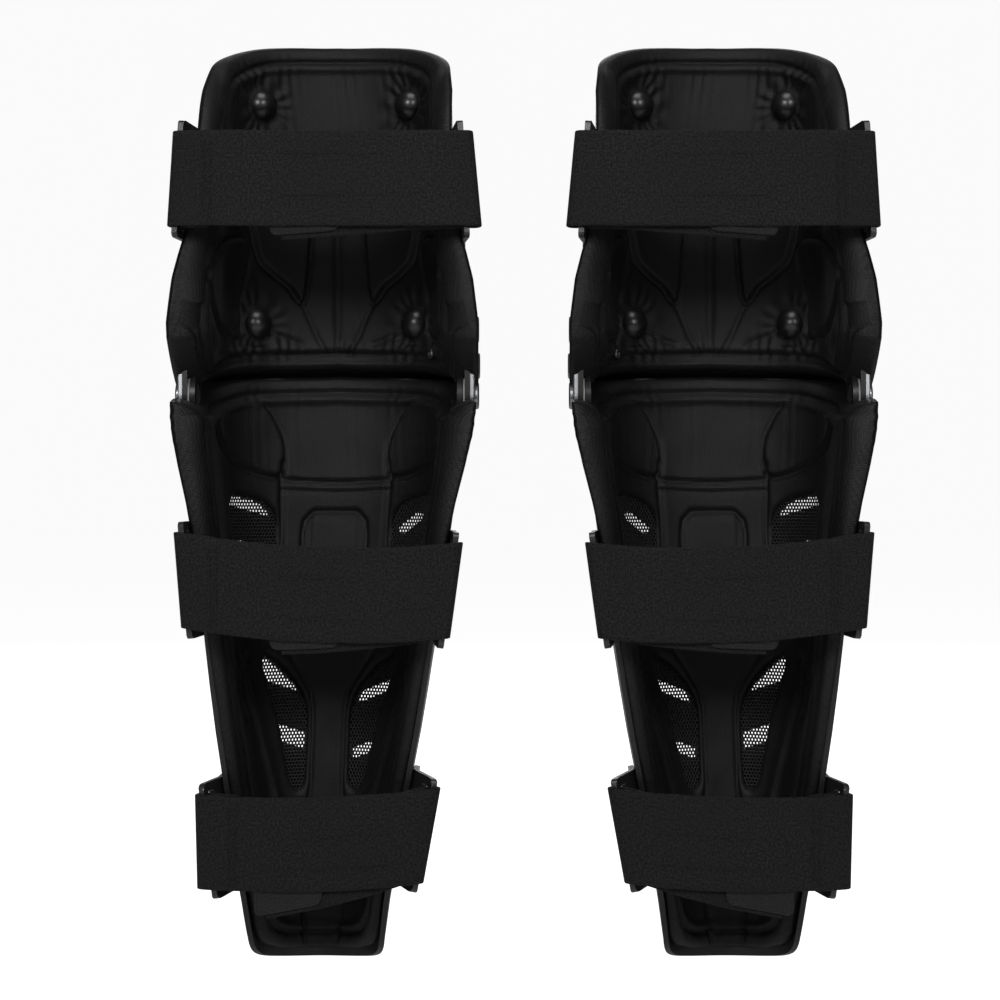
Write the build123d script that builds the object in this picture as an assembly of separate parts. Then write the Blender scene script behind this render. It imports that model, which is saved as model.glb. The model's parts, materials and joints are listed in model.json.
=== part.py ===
from build123d import *
import os
from math import atan, atan2, cos, degrees, radians, sin, sqrt, tan

# A pair of hinged off-road knee and shin guards, left and right, in millimetres.
# Z is up the leg, Y is forward and the origin lies midway between the feet of the two guards.
# Everything is modelled for the left guard about its own centre plane, then placed and mirrored.

# ---- driving dimensions of the pair and of the leg form ----
GUARD_SPACING = 214.0          # between the two guards' knee centre planes
ANKLE_OFFSET = 8.5             # how far the foot of a guard leans outwards
ANKLE_OFFSET_HEIGHT = 300.0    # the lean has died away at this height
FLAT_SIDE = 8.0                # the side walls stay flat this far in front of the knee axis plane
REAR_REACH = 60.0              # the leg form runs this far behind the knee axis plane

LEG_WIDTH_FACTOR = 1.0         # a wider or slimmer leg
LEG_DEPTH_FACTOR = 1.0         # a deeper or shallower one

# The padded liner's outer face: height, half width and depth in front of the knee axis plane.
LEG_TABLE = [
    (-6.0, 32.5, 41.5), (18.0, 34.6, 43.4), (40.0, 37.0, 45.0), (62.0, 40.0, 46.2), (85.0, 43.5, 47.5),
    (110.0, 47.6, 48.9), (135.0, 51.7, 50.2), (160.0, 55.2, 51.5), (185.0, 58.3, 52.7),
    (210.0, 61.1, 53.8), (235.0, 63.7, 54.9), (260.0, 66.5, 56.0), (280.0, 69.0, 57.0),
    (296.0, 70.5, 57.7), (306.0, 70.5, 58.0), (378.0, 70.5, 58.0), (392.0, 69.2, 57.8),
    (410.0, 67.0, 57.3), (435.0, 65.4, 56.7), (465.0, 64.4, 56.2), (500.0, 63.3, 55.6), (530.0, 62.0, 55.0),
]

# ---- walls and clearances ----
FOAM_THICKNESS = 8.0
FOAM_GAP = 0.3                 # padded liner to hard shell
SHELL_WALL = 3.0
WASHER_THICKNESS = 0.8
AXIAL_PLAY = 0.3               # shell to pivot washer
SEAT_GAP = 0.05                # between pieces that are clamped together
CUP_WALL = 2.8
ARM_WALL = 2.6
PLATE_GAP = 0.3                # shin shell to its front plate
PLATE_WALL = 2.6

# ---- knee hinge ----
PIVOT_Y = -8.0
LOW_PIVOT_Z = 318.0
PIVOT_PITCH = 36.0             # low pivot to high pivot
EAR_RADIUS = 12.0
PIVOT_SHANK_RADIUS = 4.0
RUNNING_CLEARANCE = 0.05
PIVOT_HEAD_RADIUS = 7.5
PIVOT_HEAD_HEIGHT = 2.0
PIVOT_TAIL_RADIUS = 6.2
PIVOT_TAIL_HEIGHT = 1.2
TAIL_CLEARANCE = 0.4
ARM_END_RADIUS = 11.0
ARM_TAB = (17.0, 336.0)        # where the third rivet of an arm sits, Y and Z
ARM_TAB_RADIUS = 8.5
ARM_WINDOW_RADIUS = 5.0
LOWER_NOTCH = (8.0, 46.0)      # degrees the liner is cut away behind the low pivot, below and above
UPPER_NOTCH = (20.0, 25.0)     # the same behind the high pivot
SHIN_SPLIT_ANGLE = 13.6        # the liners part along this slope in front of the low pivot
THIGH_SPLIT_ANGLE = 26.0       # and along this one in front of the high pivot
SPLIT_GAP = 1.5                # each liner stops this far from the split
SHELL_SPLIT_GAP = 4.0          # the thigh shell stops this far above the upper split

# ---- knee cup ----
CUP_BOTTOM, CUP_TOP = 288.0, 410.0
CUP_DOME = 9.0                 # extra bulge over the kneecap
CUP_HEIGHTS = [270.0, 280.0, 290.0, 300.0, 310.0, 320.0, 330.0, 340.0, 350.0, 360.0, 370.0, 378.0,
               388.0, 398.0, 408.0, 420.0]

# ---- ventilation, one side, measured from the centre line: X, Z pairs ----
UPPER_WINDOW = [(33.0, 259.0), (57.0, 266.0), (51.0, 230.0), (31.0, 226.0)]
LOWER_WINDOW = [(11.7, 146.0), (26.5, 167.0), (37.0, 174.0), (32.0, 155.0), (26.5, 137.0),
                (23.0, 120.0), (19.5, 101.0), (15.5, 96.0), (12.0, 100.0)]
WINDOW_CORNER = 3.0
OUTER_SLOTS = [                # centre X, centre Z, length, height, slope in degrees
    (47.0, 258.0, 28.0, 7.0, 18.0), (45.0, 232.0, 22.0, 7.0, 18.0),
    (28.0, 162.5, 31.0, 15.0, 21.0), (24.0, 126.5, 27.0, 9.0, 21.0), (20.5, 93.0, 20.0, 8.0, 20.0),
]
INNER_SLOTS = [
    (44.0, 248.0, 17.0, 5.0, 38.0), (44.0, 226.0, 16.0, 5.0, 30.0),
    (26.0, 151.5, 25.0, 5.5, 23.0), (20.0, 118.0, 20.0, 6.0, 22.0), (18.0, 88.0, 16.0, 6.0, 22.0),
]
SLOT_CORNER = 2.5
THIGH_SLOTS = [(24.0, 470.0, 26.0, 7.0, 18.0), (22.5, 452.0, 24.0, 7.0, 18.0), (21.0, 434.0, 22.0, 7.0, 18.0)]
CUP_SLOTS = [(38.0, 366.0, 20.0, 6.0, 35.0), (42.0, 350.0, 20.0, 6.0, 35.0)]
MESH_DEPTH = 4.0               # middle of the mesh behind the liner's outer face
MESH_THICKNESS = 1.0
MESH_EDGE_GAP = 0.15

# ---- front plate of the shin ----
PLATE_OUTLINE = [(0.0, 284.0), (24.0, 280.0), (29.0, 262.0), (22.0, 214.0), (11.0, 176.0),
                 (9.5, 90.0), (15.0, 52.0), (12.0, 30.0), (0.0, 24.0)]
PLATE_CORNER = 4.0
PLATE_SCREWS = [(15.0, 266.0), (0.0, 190.0), (0.0, 44.0)]    # X (both sides where not 0) and Z
SCREW_HEAD_RADIUS, SCREW_HEAD_HEIGHT = 4.2, 1.8
SCREW_SHANK_RADIUS = 2.0

# ---- liner domes ----
THIGH_DOME = (41.0, 485.0)     # X and Z
KNEE_DOME = (44.5, 361.0)
DOME_RADIUS, DOME_HEIGHT = 8.3, 5.2
DOME_LIFT = 1.4                # a dome's flat back stands this far off the curved liner
POST_RADIUS, POST_HEAD_RADIUS, POST_HEAD_HEIGHT = 2.5, 6.0, 1.5
POST_CLEARANCE = 0.1

# ---- straps and the loops that hold them ----
STRAP_WIDTH = 50.0
STRAP_THICKNESS = 2.0
STRAP_BULGE = 6.0              # the band's middle stands this far behind its ends
STRAP_LAYER_PITCH = 4.2        # outer layer to the returned layer
STRAP_CORNER = 2.4
BAR_CLEARANCE = 0.9            # strap to the bar it runs round
CORNER_STEPS = 5               # flats round each of the band's corners
STRAP_SHOULDER = 22.0          # from a loop to where the band starts to run straight across
SHOULDER_SHARE = 0.35          # how much of the bulge is still to come at the shoulder
STRAP_TAIL = 14.0              # the sewn tail inside the outer loop
PATCH_LENGTH = 36.0
PATCH_OVERHANG = 6.0           # the patch runs this far past the returned layer's end
PATCH_THICKNESS = 1.5
LOOP_HEIGHT = STRAP_WIDTH + 12.0
LOOP_WALL = 3.0
FLANGE_LENGTH = 20.0
LOOP_LENGTH = 27.0
LOOP_SLOT = (7.0, STRAP_WIDTH + 3.0)    # across and up
LOOP_BAR = 5.5
LOOP_CORNER = 4.5
LOOP_SEAT = 0.3
BRACKET_RIVET_RADIUS, BRACKET_RIVET_HEAD = 2.0, 4.0
BRACKET_RIVET_HEIGHT = 1.4
BRACKET_RIVET_SPREAD = 36.0
# level: outer loop's height, inner loop's height, Y where the flanges start, the two loops' bends in degrees
# and X where the returned layer ends
UPPER_STRAP = (430.0, 430.0, -2.0, 8.0, 8.0, -20.0)
MIDDLE_STRAP = (219.0, 214.0, -2.0, 4.0, 7.0, -20.0)
LOWER_STRAP = (80.0, 84.0, 10.0, 15.0, 26.0, -30.0)

OUTER, INNER = -1.0, 1.0       # the two sides of the left guard along X
FAR = 120.0                    # past every face of a guard

# ---- worked-out sizes ----
LEG_SECTIONS = [(z, half * LEG_WIDTH_FACTOR, front * LEG_DEPTH_FACTOR) for z, half, front in LEG_TABLE]
SHELL_INNER = FOAM_GAP
SHELL_OUTER = SHELL_INNER + SHELL_WALL
CUP_INNER = SHELL_OUTER + AXIAL_PLAY + WASHER_THICKNESS + SEAT_GAP
CUP_OUTER = CUP_INNER + CUP_WALL
HIGH_PIVOT_Z = LOW_PIVOT_Z + PIVOT_PITCH
KNEE_CENTRE_Z = LOW_PIVOT_Z + PIVOT_PITCH / 2
KNEE_HALF_WIDTH = next(half for height, half, front in LEG_SECTIONS if height >= LOW_PIVOT_Z)
ARM_INNER_X = KNEE_HALF_WIDTH + CUP_OUTER + SEAT_GAP
ARM_OUTER_X = ARM_INNER_X + ARM_WALL


# ---- the leg form ----
def leg_size(height):
    """Half width and front depth of the liner's outer face at a height."""
    for (z0, a0, f0), (z1, a1, f1) in zip(LEG_SECTIONS, LEG_SECTIONS[1:]):
        if height <= z1:
            share = (height - z0) / (z1 - z0)
            return a0 + share * (a1 - a0), f0 + share * (f1 - f0)
    return LEG_SECTIONS[-1][1:]


def centre_x(height):
    """The guard's centre line leans outwards towards the ankle."""
    return -ANKLE_OFFSET * max(0.0, 1.0 - height / ANKLE_OFFSET_HEIGHT)


def leg_face(height, half_width, front):
    """A D-shaped section: flat sides and a half-ellipse front."""
    middle = centre_x(height)
    outline = Polyline(
        (middle - half_width, FLAT_SIDE), (middle - half_width, -REAR_REACH),
        (middle + half_width, -REAR_REACH), (middle + half_width, FLAT_SIDE),
    ) + EllipticalCenterArc((middle, FLAT_SIDE), half_width, front - FLAT_SIDE, 0, arc_size=180)
    return Plane.XY.offset(height) * make_face(outline)


def leg_form(grow):
    """The whole leg as one closed form, grown outwards from the liner's outer face."""
    return loft([leg_face(z, half + grow, front + grow) for z, half, front in LEG_SECTIONS], ruled=True)


def cup_form(grow):
    """The leg form about the knee, with the kneecap's dome added in front."""
    faces = []
    for z in CUP_HEIGHTS:
        half, front = leg_size(z)
        reach = (z - KNEE_CENTRE_Z) / (KNEE_CENTRE_Z - CUP_BOTTOM)
        dome = CUP_DOME * max(0.0, 1.0 - reach * reach)
        faces.append(leg_face(z, half + grow, front + grow + dome))
    return loft(faces, ruled=True)


def side_prism(outline):
    """A Y-Z outline carried right across the guard."""
    return extrude(Plane.YZ * outline, amount=FAR, both=True)


def front_prism(outline, side=1.0):
    """An X-Z outline about the centre line, mirrored for side -1, carried through the front of the guard."""
    face = Plane.XZ * outline
    if side < 0:
        face = mirror(face, about=Plane.YZ)
    return extrude(face, amount=-FAR, dir=(0, -1, 0))


def follow_lean(shape, height):
    return Pos(centre_x(height), 0, 0) * shape


def split_line(pivot_z, slope, gap, y):
    """Height of a liner's split in front of a pivot."""
    return pivot_z + gap + (y - PIVOT_Y) * tan(radians(slope))


def behind(pivot_z, slope, gap, y):
    """Height of a notch edge behind a pivot."""
    return pivot_z + gap + (PIVOT_Y - y) * tan(radians(slope))


def rounded_outline(points, radius):
    sketch = make_face(Polyline(*points, close=True))
    return fillet(sketch.vertices(), radius)


def pivot_disc(z, radius):
    return Pos(PIVOT_Y, z) * Circle(radius)


def across(side, x, y, z, radius, length):
    """A cylinder along X on one side of the guard, from x outwards."""
    start = Plane(origin=(side * x, y, z), z_dir=(side, 0, 0))
    return extrude(start * Circle(radius), amount=length)


# ---- ventilation ----
def window_prisms(shrink=0.0):
    """The liner's mesh windows on both sides."""
    prisms = []
    for points in (UPPER_WINDOW, LOWER_WINDOW):
        outline = rounded_outline(points, WINDOW_CORNER)
        if shrink:
            outline = offset(outline, amount=-shrink)
        height = sum(z for x, z in points) / len(points)
        for side in (OUTER, INNER):
            prisms.append(follow_lean(front_prism(outline, side), height))
    return prisms


def slot_prisms(outer_slots, inner_slots):
    """Sloping slots that fall towards the centre line on the two sides."""
    prisms = []
    for side, slots in ((OUTER, outer_slots), (INNER, inner_slots)):
        for x, z, length, height, slope in slots:
            corner = min(SLOT_CORNER, height * 0.45)
            outline = Pos(x, z) * Rot(0, 0, slope) * RectangleRounded(length, height, corner)
            prisms.append(follow_lean(front_prism(outline, side), z))
    return prisms


def without(shape, cutters):
    for cutter in cutters:
        shape = shape - cutter
    return shape


# ---- hard shells ----
def ear_cuts(pivot_z):
    """A pivot hole through both ears, with a recess inside for the rivet's tail."""
    cuts = []
    for side in (OUTER, INNER):
        inside = KNEE_HALF_WIDTH + SHELL_INNER
        cuts.append(across(side, inside - 1, PIVOT_Y, pivot_z, PIVOT_SHANK_RADIUS + RUNNING_CLEARANCE,
                           SHELL_WALL + 2))
        cuts.append(across(side, inside - 1, PIVOT_Y, pivot_z, PIVOT_TAIL_RADIUS + TAIL_CLEARANCE,
                           1 + PIVOT_TAIL_HEIGHT + TAIL_CLEARANCE))
    return cuts


def rim_face(rim, closing):
    """A smooth rim from the first to the last point, closed in front by straight lines."""
    return make_face(Spline(*rim) + Polyline(rim[-1], *closing, rim[0]))


def make_shin_shell():
    rim = [(49, 0), (30, 3.5), (14, 11), (3, 25), (-6, 44), (-12, 64), (-15, 85), (-17, 115),
           (-21, 155), (-25, 200), (-27, 250), (-26, 290), (-20, 306)]
    outline = rim_face(rim, [(-14, 312), (90, 312), (90, 0)]) + pivot_disc(LOW_PIVOT_Z, EAR_RADIUS)
    shell = (leg_form(SHELL_OUTER) - leg_form(SHELL_INNER)) & side_prism(outline)
    cuts = slot_prisms(OUTER_SLOTS, INNER_SLOTS) + ear_cuts(LOW_PIVOT_Z)
    cuts += bracket_rivet_holes(MIDDLE_STRAP) + bracket_rivet_holes(LOWER_STRAP)
    cuts += [screw_solid(x, z, SCREW_SHANK_RADIUS + SEAT_GAP, 0) for x, z in plate_screw_places()]
    return without(shell, cuts)


def make_thigh_shell():
    rim = [(-19, 366), (-25, 380), (-27, 400), (-26, 430), (-22, 455), (-14, 472), (-5, 482),
           (6, 491), (22, 501), (40, 510), (60, 515)]
    low_front = split_line(HIGH_PIVOT_Z, THIGH_SPLIT_ANGLE, SHELL_SPLIT_GAP, 90)
    low_side = split_line(HIGH_PIVOT_Z, THIGH_SPLIT_ANGLE, SHELL_SPLIT_GAP, -4)
    outline = rim_face(rim, [(90, 515), (90, low_front), (-4, low_side)])
    outline += pivot_disc(HIGH_PIVOT_Z, EAR_RADIUS)
    shell = (leg_form(SHELL_OUTER) - leg_form(SHELL_INNER)) & side_prism(outline)
    cuts = slot_prisms(THIGH_SLOTS, THIGH_SLOTS) + ear_cuts(HIGH_PIVOT_Z) + bracket_rivet_holes(UPPER_STRAP)
    cuts += [dome_post(*THIGH_DOME, side, POST_RADIUS + POST_CLEARANCE, SHELL_OUTER)
             for side in (OUTER, INNER)]
    return without(shell, cuts)


def make_knee_cup():
    wing = make_face(Polyline(
        (PIVOT_Y, LOW_PIVOT_Z - EAR_RADIUS), (12, 301), (36, CUP_BOTTOM + 2), (90, CUP_BOTTOM),
        (90, CUP_TOP), (46, CUP_TOP - 2), (12, 374), (PIVOT_Y, HIGH_PIVOT_Z + EAR_RADIUS), close=True))
    back = Pos(PIVOT_Y, KNEE_CENTRE_Z) * Rectangle(2 * EAR_RADIUS, PIVOT_PITCH)
    outline = wing + back + pivot_disc(LOW_PIVOT_Z, EAR_RADIUS) + pivot_disc(HIGH_PIVOT_Z, EAR_RADIUS)
    cup = (cup_form(CUP_OUTER) - cup_form(CUP_INNER)) & side_prism(outline)
    cuts = slot_prisms(CUP_SLOTS, CUP_SLOTS)
    for side in (OUTER, INNER):
        for y, z in arm_holes():
            cuts.append(across(side, KNEE_HALF_WIDTH, y, z, PIVOT_SHANK_RADIUS + RUNNING_CLEARANCE, FAR / 2))
        cuts.append(dome_post(*KNEE_DOME, side, POST_RADIUS + POST_CLEARANCE, CUP_OUTER + CUP_DOME))
    return without(cup, cuts)


def plate_screw_places():
    return [(side * x, z) for x, z in PLATE_SCREWS for side in ((OUTER, INNER) if x else (INNER,))]


def front_y(x, z, grow):
    """Y of the grown leg form's front at a distance from the centre line."""
    half, front = leg_size(z)
    return FLAT_SIDE + (front + grow - FLAT_SIDE) * sqrt(1 - (x / (half + grow)) ** 2)


def screw_solid(x, z, radius, head_radius):
    """A front plate screw along Y, through the plate and the shell; no head when head_radius is 0."""
    seat = front_y(x, z, SHELL_OUTER + PLATE_GAP + PLATE_WALL) + SEAT_GAP
    shank_length = PLATE_WALL + PLATE_GAP + SHELL_WALL - 0.4 if head_radius else FAR / 8
    frame = Plane(origin=(x + centre_x(z), seat, z), z_dir=(0, -1, 0))
    if not head_radius:
        return extrude(frame.offset(-4) * Circle(radius), amount=shank_length + 4)
    head = extrude(frame * Circle(head_radius), amount=-SCREW_HEAD_HEIGHT)
    head = fillet(head.edges().sort_by(Axis.Y)[-1], 0.8)
    head -= extrude(frame.offset(-SCREW_HEAD_HEIGHT) * RegularPolygon(1.8, 6), amount=1.1)
    return head + extrude(frame * Circle(radius), amount=shank_length)


def make_shin_plate():
    right = [(x, z) for x, z in PLATE_OUTLINE]
    left = [(-x, z) for x, z in reversed(PLATE_OUTLINE[1:-1])]
    outline = rounded_outline(right + left, PLATE_CORNER)
    low, high = SHELL_OUTER + PLATE_GAP, SHELL_OUTER + PLATE_GAP + PLATE_WALL
    middle = sum(z for x, z in PLATE_OUTLINE) / len(PLATE_OUTLINE)
    plate = (leg_form(high) - leg_form(low)) & follow_lean(front_prism(outline), middle)
    flats = [extrude(Plane(origin=(x + centre_x(z), front_y(x, z, high), z), z_dir=(0, 1, 0))
                     * Circle(SCREW_HEAD_RADIUS + 0.3), amount=6) for x, z in plate_screw_places()]
    holes = [screw_solid(x, z, SCREW_SHANK_RADIUS + SEAT_GAP, 0) for x, z in plate_screw_places()]
    return without(plate, flats + holes)


def make_shin_plate_screws():
    return [screw_solid(x, z, SCREW_SHANK_RADIUS, SCREW_HEAD_RADIUS) for x, z in plate_screw_places()]


# ---- padded liners and mesh ----
def padded_liner(outline):
    return (leg_form(0) - leg_form(-FOAM_THICKNESS)) & side_prism(outline)


def make_shin_foam():
    rim = [(44, 4), (30, 8), (17, 15), (7, 28), (-3, 46), (-9, 64), (-14, 85), (-19, 115), (-25, 155),
           (-30, 200), (-33, 250), (-33, 295), (-31, behind(LOW_PIVOT_Z, -LOWER_NOTCH[0], -SPLIT_GAP, -31))]
    top_front = split_line(LOW_PIVOT_Z, SHIN_SPLIT_ANGLE, -SPLIT_GAP, 90)
    outline = rim_face(rim, [(PIVOT_Y, LOW_PIVOT_Z - SPLIT_GAP), (90, top_front), (90, 4)])
    return without(padded_liner(outline), window_prisms())


def make_knee_foam():
    outline = make_face(Polyline(
        (PIVOT_Y, LOW_PIVOT_Z + SPLIT_GAP),
        (-30.5, behind(LOW_PIVOT_Z, LOWER_NOTCH[1], SPLIT_GAP, -30.5)),
        (-32, behind(HIGH_PIVOT_Z, -UPPER_NOTCH[0], -SPLIT_GAP, -32) + 0.5),
        (PIVOT_Y, HIGH_PIVOT_Z - SPLIT_GAP),
        (90, split_line(HIGH_PIVOT_Z, THIGH_SPLIT_ANGLE, -SPLIT_GAP, 90)),
        (90, split_line(LOW_PIVOT_Z, SHIN_SPLIT_ANGLE, SPLIT_GAP, 90)), close=True))
    posts = [dome_post(*KNEE_DOME, side, POST_RADIUS + POST_CLEARANCE, CUP_OUTER) for side in (OUTER, INNER)]
    return without(padded_liner(outline), posts)


def make_thigh_foam():
    rim = [(-33, behind(HIGH_PIVOT_Z, UPPER_NOTCH[1], SPLIT_GAP, -33)), (-33, 400), (-31, 430), (-26, 455),
           (-20, 472), (-10, 484), (0, 495), (20, 507), (40, 518), (57, 522)]
    low_front = split_line(HIGH_PIVOT_Z, THIGH_SPLIT_ANGLE, SPLIT_GAP, 90)
    outline = rim_face(rim, [(90, 522), (90, low_front), (PIVOT_Y, HIGH_PIVOT_Z + SPLIT_GAP)])
    posts = [dome_post(*THIGH_DOME, side, POST_RADIUS + POST_CLEARANCE, SHELL_OUTER)
             for side in (OUTER, INNER)]
    return without(padded_liner(outline), posts)


def make_shin_mesh():
    middle = -MESH_DEPTH
    sheet = leg_form(middle + MESH_THICKNESS / 2) - leg_form(middle - MESH_THICKNESS / 2)
    return [sheet & prism for prism in window_prisms(MESH_EDGE_GAP)]


# ---- domes that hold the liners ----
def dome_frame(x, z, side):
    """A frame on the liner's inner face, with Z pointing to the leg."""
    half, front = leg_size(z)
    a, f = half - FOAM_THICKNESS, front - FOAM_THICKNESS - FLAT_SIDE
    rise = f * sqrt(1 - (x / a) ** 2)
    return Plane(origin=(side * x + centre_x(z), FLAT_SIDE + rise, z),
                 z_dir=(-side * x / a ** 2, -rise / f ** 2, 0))


def depth_to(x, z, side, grow_x, grow_y):
    """Distance along the dome's axis from the liner's inner face out to a grown form's face."""
    half, front = leg_size(z)
    frame = dome_frame(x, z, side)
    out_x, out_y = -frame.z_dir.X * side, -frame.z_dir.Y
    a, f = half + grow_x, front + grow_y - FLAT_SIDE
    start_x, start_y = x, frame.origin.Y - FLAT_SIDE
    square = (out_x / a) ** 2 + (out_y / f) ** 2
    linear = 2 * (start_x * out_x / a ** 2 + start_y * out_y / f ** 2)
    rest = (start_x / a) ** 2 + (start_y / f) ** 2 - 1
    return (-linear + sqrt(linear ** 2 - 4 * square * rest)) / (2 * square)


def dome_post(x, z, side, radius, grow):
    """The post alone, from the liner's inner face to well past a form grown by grow."""
    length = depth_to(x, z, side, grow, grow) + 5
    return extrude(dome_frame(x, z, side).offset(1) * Circle(radius), amount=-length)


def make_domes(x, z, grow_x, grow_y):
    """A domed cap on the liner, a post through it and a flat head on the hard shell, each side."""
    domes = []
    for side in (OUTER, INNER):
        frame = dome_frame(x, z, side).offset(DOME_LIFT)
        ball = (DOME_RADIUS ** 2 + DOME_HEIGHT ** 2) / (2 * DOME_HEIGHT)
        cap = frame.offset(DOME_HEIGHT - ball) * Sphere(ball)
        cap &= extrude(frame * Circle(DOME_RADIUS), DOME_HEIGHT)
        length = depth_to(x, z, side, grow_x, grow_y) + DOME_LIFT + 0.4
        post = extrude(frame * Circle(POST_RADIUS), amount=-length - POST_HEAD_HEIGHT)
        head = extrude(frame.offset(-length) * Circle(POST_HEAD_RADIUS), amount=-POST_HEAD_HEIGHT)
        circles = head.edges().filter_by(GeomType.CIRCLE)
        far_edge = max(circles, key=lambda e: (e.center() - frame.origin).length)
        domes.append(cap + post + fillet(far_edge, 0.5))
    return domes


# ---- knee hinge pieces ----
def arm_holes():
    return [(PIVOT_Y, LOW_PIVOT_Z), (PIVOT_Y, HIGH_PIVOT_Z), ARM_TAB]


def make_arm(side):
    """A flat link over the cup's wing that carries both pivots."""
    discs = [(PIVOT_Y, LOW_PIVOT_Z, ARM_END_RADIUS), (PIVOT_Y, HIGH_PIVOT_Z, ARM_END_RADIUS),
             (*ARM_TAB, ARM_TAB_RADIUS)]
    outline = make_hull([edge for y, z, radius in discs for edge in (Pos(y, z) * Circle(radius)).edges()])
    outline -= Pos(ARM_TAB[0] - 14.0, ARM_TAB[1]) * Circle(ARM_WINDOW_RADIUS)
    for y, z in arm_holes():
        outline -= Pos(y, z) * Circle(PIVOT_SHANK_RADIUS + RUNNING_CLEARANCE)
    arm = extrude(Plane.YZ.offset(ARM_INNER_X) * outline, amount=ARM_WALL)
    arm = chamfer(arm.faces().sort_by(Axis.X)[-1].outer_wire().edges(), 0.7)
    return arm if side > 0 else mirror(arm, about=Plane.YZ)


def headed_rivet(side, y, z, inside_x, tail_radius):
    """A rivet along X: a domed head on the arm, a shank, and a tail disc where tail_radius is given."""
    head = across(side, ARM_OUTER_X + SEAT_GAP, y, z, PIVOT_HEAD_RADIUS, PIVOT_HEAD_HEIGHT)
    head = fillet(head.edges().sort_by(Axis.X)[-1 if side > 0 else 0], 1.2)
    rivet = head + across(side, inside_x, y, z, PIVOT_SHANK_RADIUS, ARM_OUTER_X + 1 - inside_x)
    if tail_radius:
        rivet += across(side, inside_x, y, z, tail_radius, PIVOT_TAIL_HEIGHT)
    return rivet


def make_pivot_rivets():
    inside = KNEE_HALF_WIDTH + SHELL_INNER + TAIL_CLEARANCE / 2
    return [headed_rivet(side, PIVOT_Y, z, inside, PIVOT_TAIL_RADIUS)
            for side in (OUTER, INNER) for z in (LOW_PIVOT_Z, HIGH_PIVOT_Z)]


def make_pivot_washers():
    washers = []
    for side in (OUTER, INNER):
        for z in (LOW_PIVOT_Z, HIGH_PIVOT_Z):
            x = KNEE_HALF_WIDTH + SHELL_OUTER + AXIAL_PLAY
            ring = across(side, x, PIVOT_Y, z, EAR_RADIUS - 1, WASHER_THICKNESS)
            washers.append(ring - across(side, x - 1, PIVOT_Y, z, PIVOT_SHANK_RADIUS + RUNNING_CLEARANCE, 4))
    return washers


def make_cup_rivets():
    """The third rivet of each arm, which ends flush inside the cup."""
    rivets = []
    inner = cup_form(CUP_INNER)
    for side in (OUTER, INNER):
        rivets.append(headed_rivet(side, *ARM_TAB, KNEE_HALF_WIDTH - 6, 0) - inner)
    return rivets


# ---- strap loops ----
def wall_x(side, z, grow):
    return centre_x(z) + side * (leg_size(z)[0] + grow)


def loop_place(strap, side):
    """Height, flange start, bend and lean of a strap loop."""
    outer_z, inner_z, flange_y, outer_bend, inner_bend, _ = strap
    z = outer_z if side < 0 else inner_z
    bend = outer_bend if side < 0 else inner_bend
    half = LOOP_HEIGHT / 2
    high, low = wall_x(side, z + half, SHELL_OUTER), wall_x(side, z - half, SHELL_OUTER)
    chord = max(side * (high + low) / 2, side * wall_x(side, z, SHELL_OUTER))
    return z, flange_y, bend, (high - low) / LOOP_HEIGHT, side * (chord + LOOP_SEAT)


def to_guard(strap, side, shape):
    """Moves a loop piece, made with the wall in the plane X=0 and X outwards, onto the shell's wall."""
    z, flange_y, bend, lean, x = loop_place(strap, side)
    if side < 0:
        shape = mirror(shape, about=Plane.YZ)
    return Pos(x, flange_y, z) * Rot(0, degrees(atan(lean)), 0) * shape


def make_bracket(strap, side):
    """A bent plate: a flange on the shell and a slotted loop behind it."""
    bend = loop_place(strap, side)[2]
    half = LOOP_WALL / 2
    end = (half + LOOP_LENGTH * sin(radians(bend)), -FLANGE_LENGTH - LOOP_LENGTH * cos(radians(bend)))
    bent = trace(Polyline((half, 0), (half, -FLANGE_LENGTH), end), LOOP_WALL)
    plate = extrude(bent, amount=LOOP_HEIGHT / 2, both=True)
    length = -end[1] + 1
    frame = Plane(origin=(-5, -length / 2 + 0.5, 0), x_dir=(0, 1, 0), z_dir=(1, 0, 0))
    plate &= extrude(frame * RectangleRounded(length, LOOP_HEIGHT, LOOP_CORNER), amount=40)
    slot_at = LOOP_LENGTH - LOOP_BAR - LOOP_SLOT[0] / 2
    slot_middle = (half + slot_at * sin(radians(bend)), -FLANGE_LENGTH - slot_at * cos(radians(bend)), 0)
    along = (sin(radians(bend)), -cos(radians(bend)), 0)
    across_wall = Plane(origin=slot_middle, x_dir=along, z_dir=(cos(radians(bend)), sin(radians(bend)), 0))
    plate -= extrude(across_wall * RectangleRounded(*LOOP_SLOT, 1.5), amount=10, both=True)
    for z in (-BRACKET_RIVET_SPREAD / 2, BRACKET_RIVET_SPREAD / 2):
        plate -= across(1, -1, -FLANGE_LENGTH / 2, z, BRACKET_RIVET_RADIUS + SEAT_GAP, 6)
    return to_guard(strap, side, plate)


def bracket_rivet_holes(strap):
    holes = []
    for side in (OUTER, INNER):
        for z in (-BRACKET_RIVET_SPREAD / 2, BRACKET_RIVET_SPREAD / 2):
            hole = across(1, -12, -FLANGE_LENGTH / 2, z, BRACKET_RIVET_RADIUS + SEAT_GAP, 14)
            holes.append(to_guard(strap, side, hole))
    return holes


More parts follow.
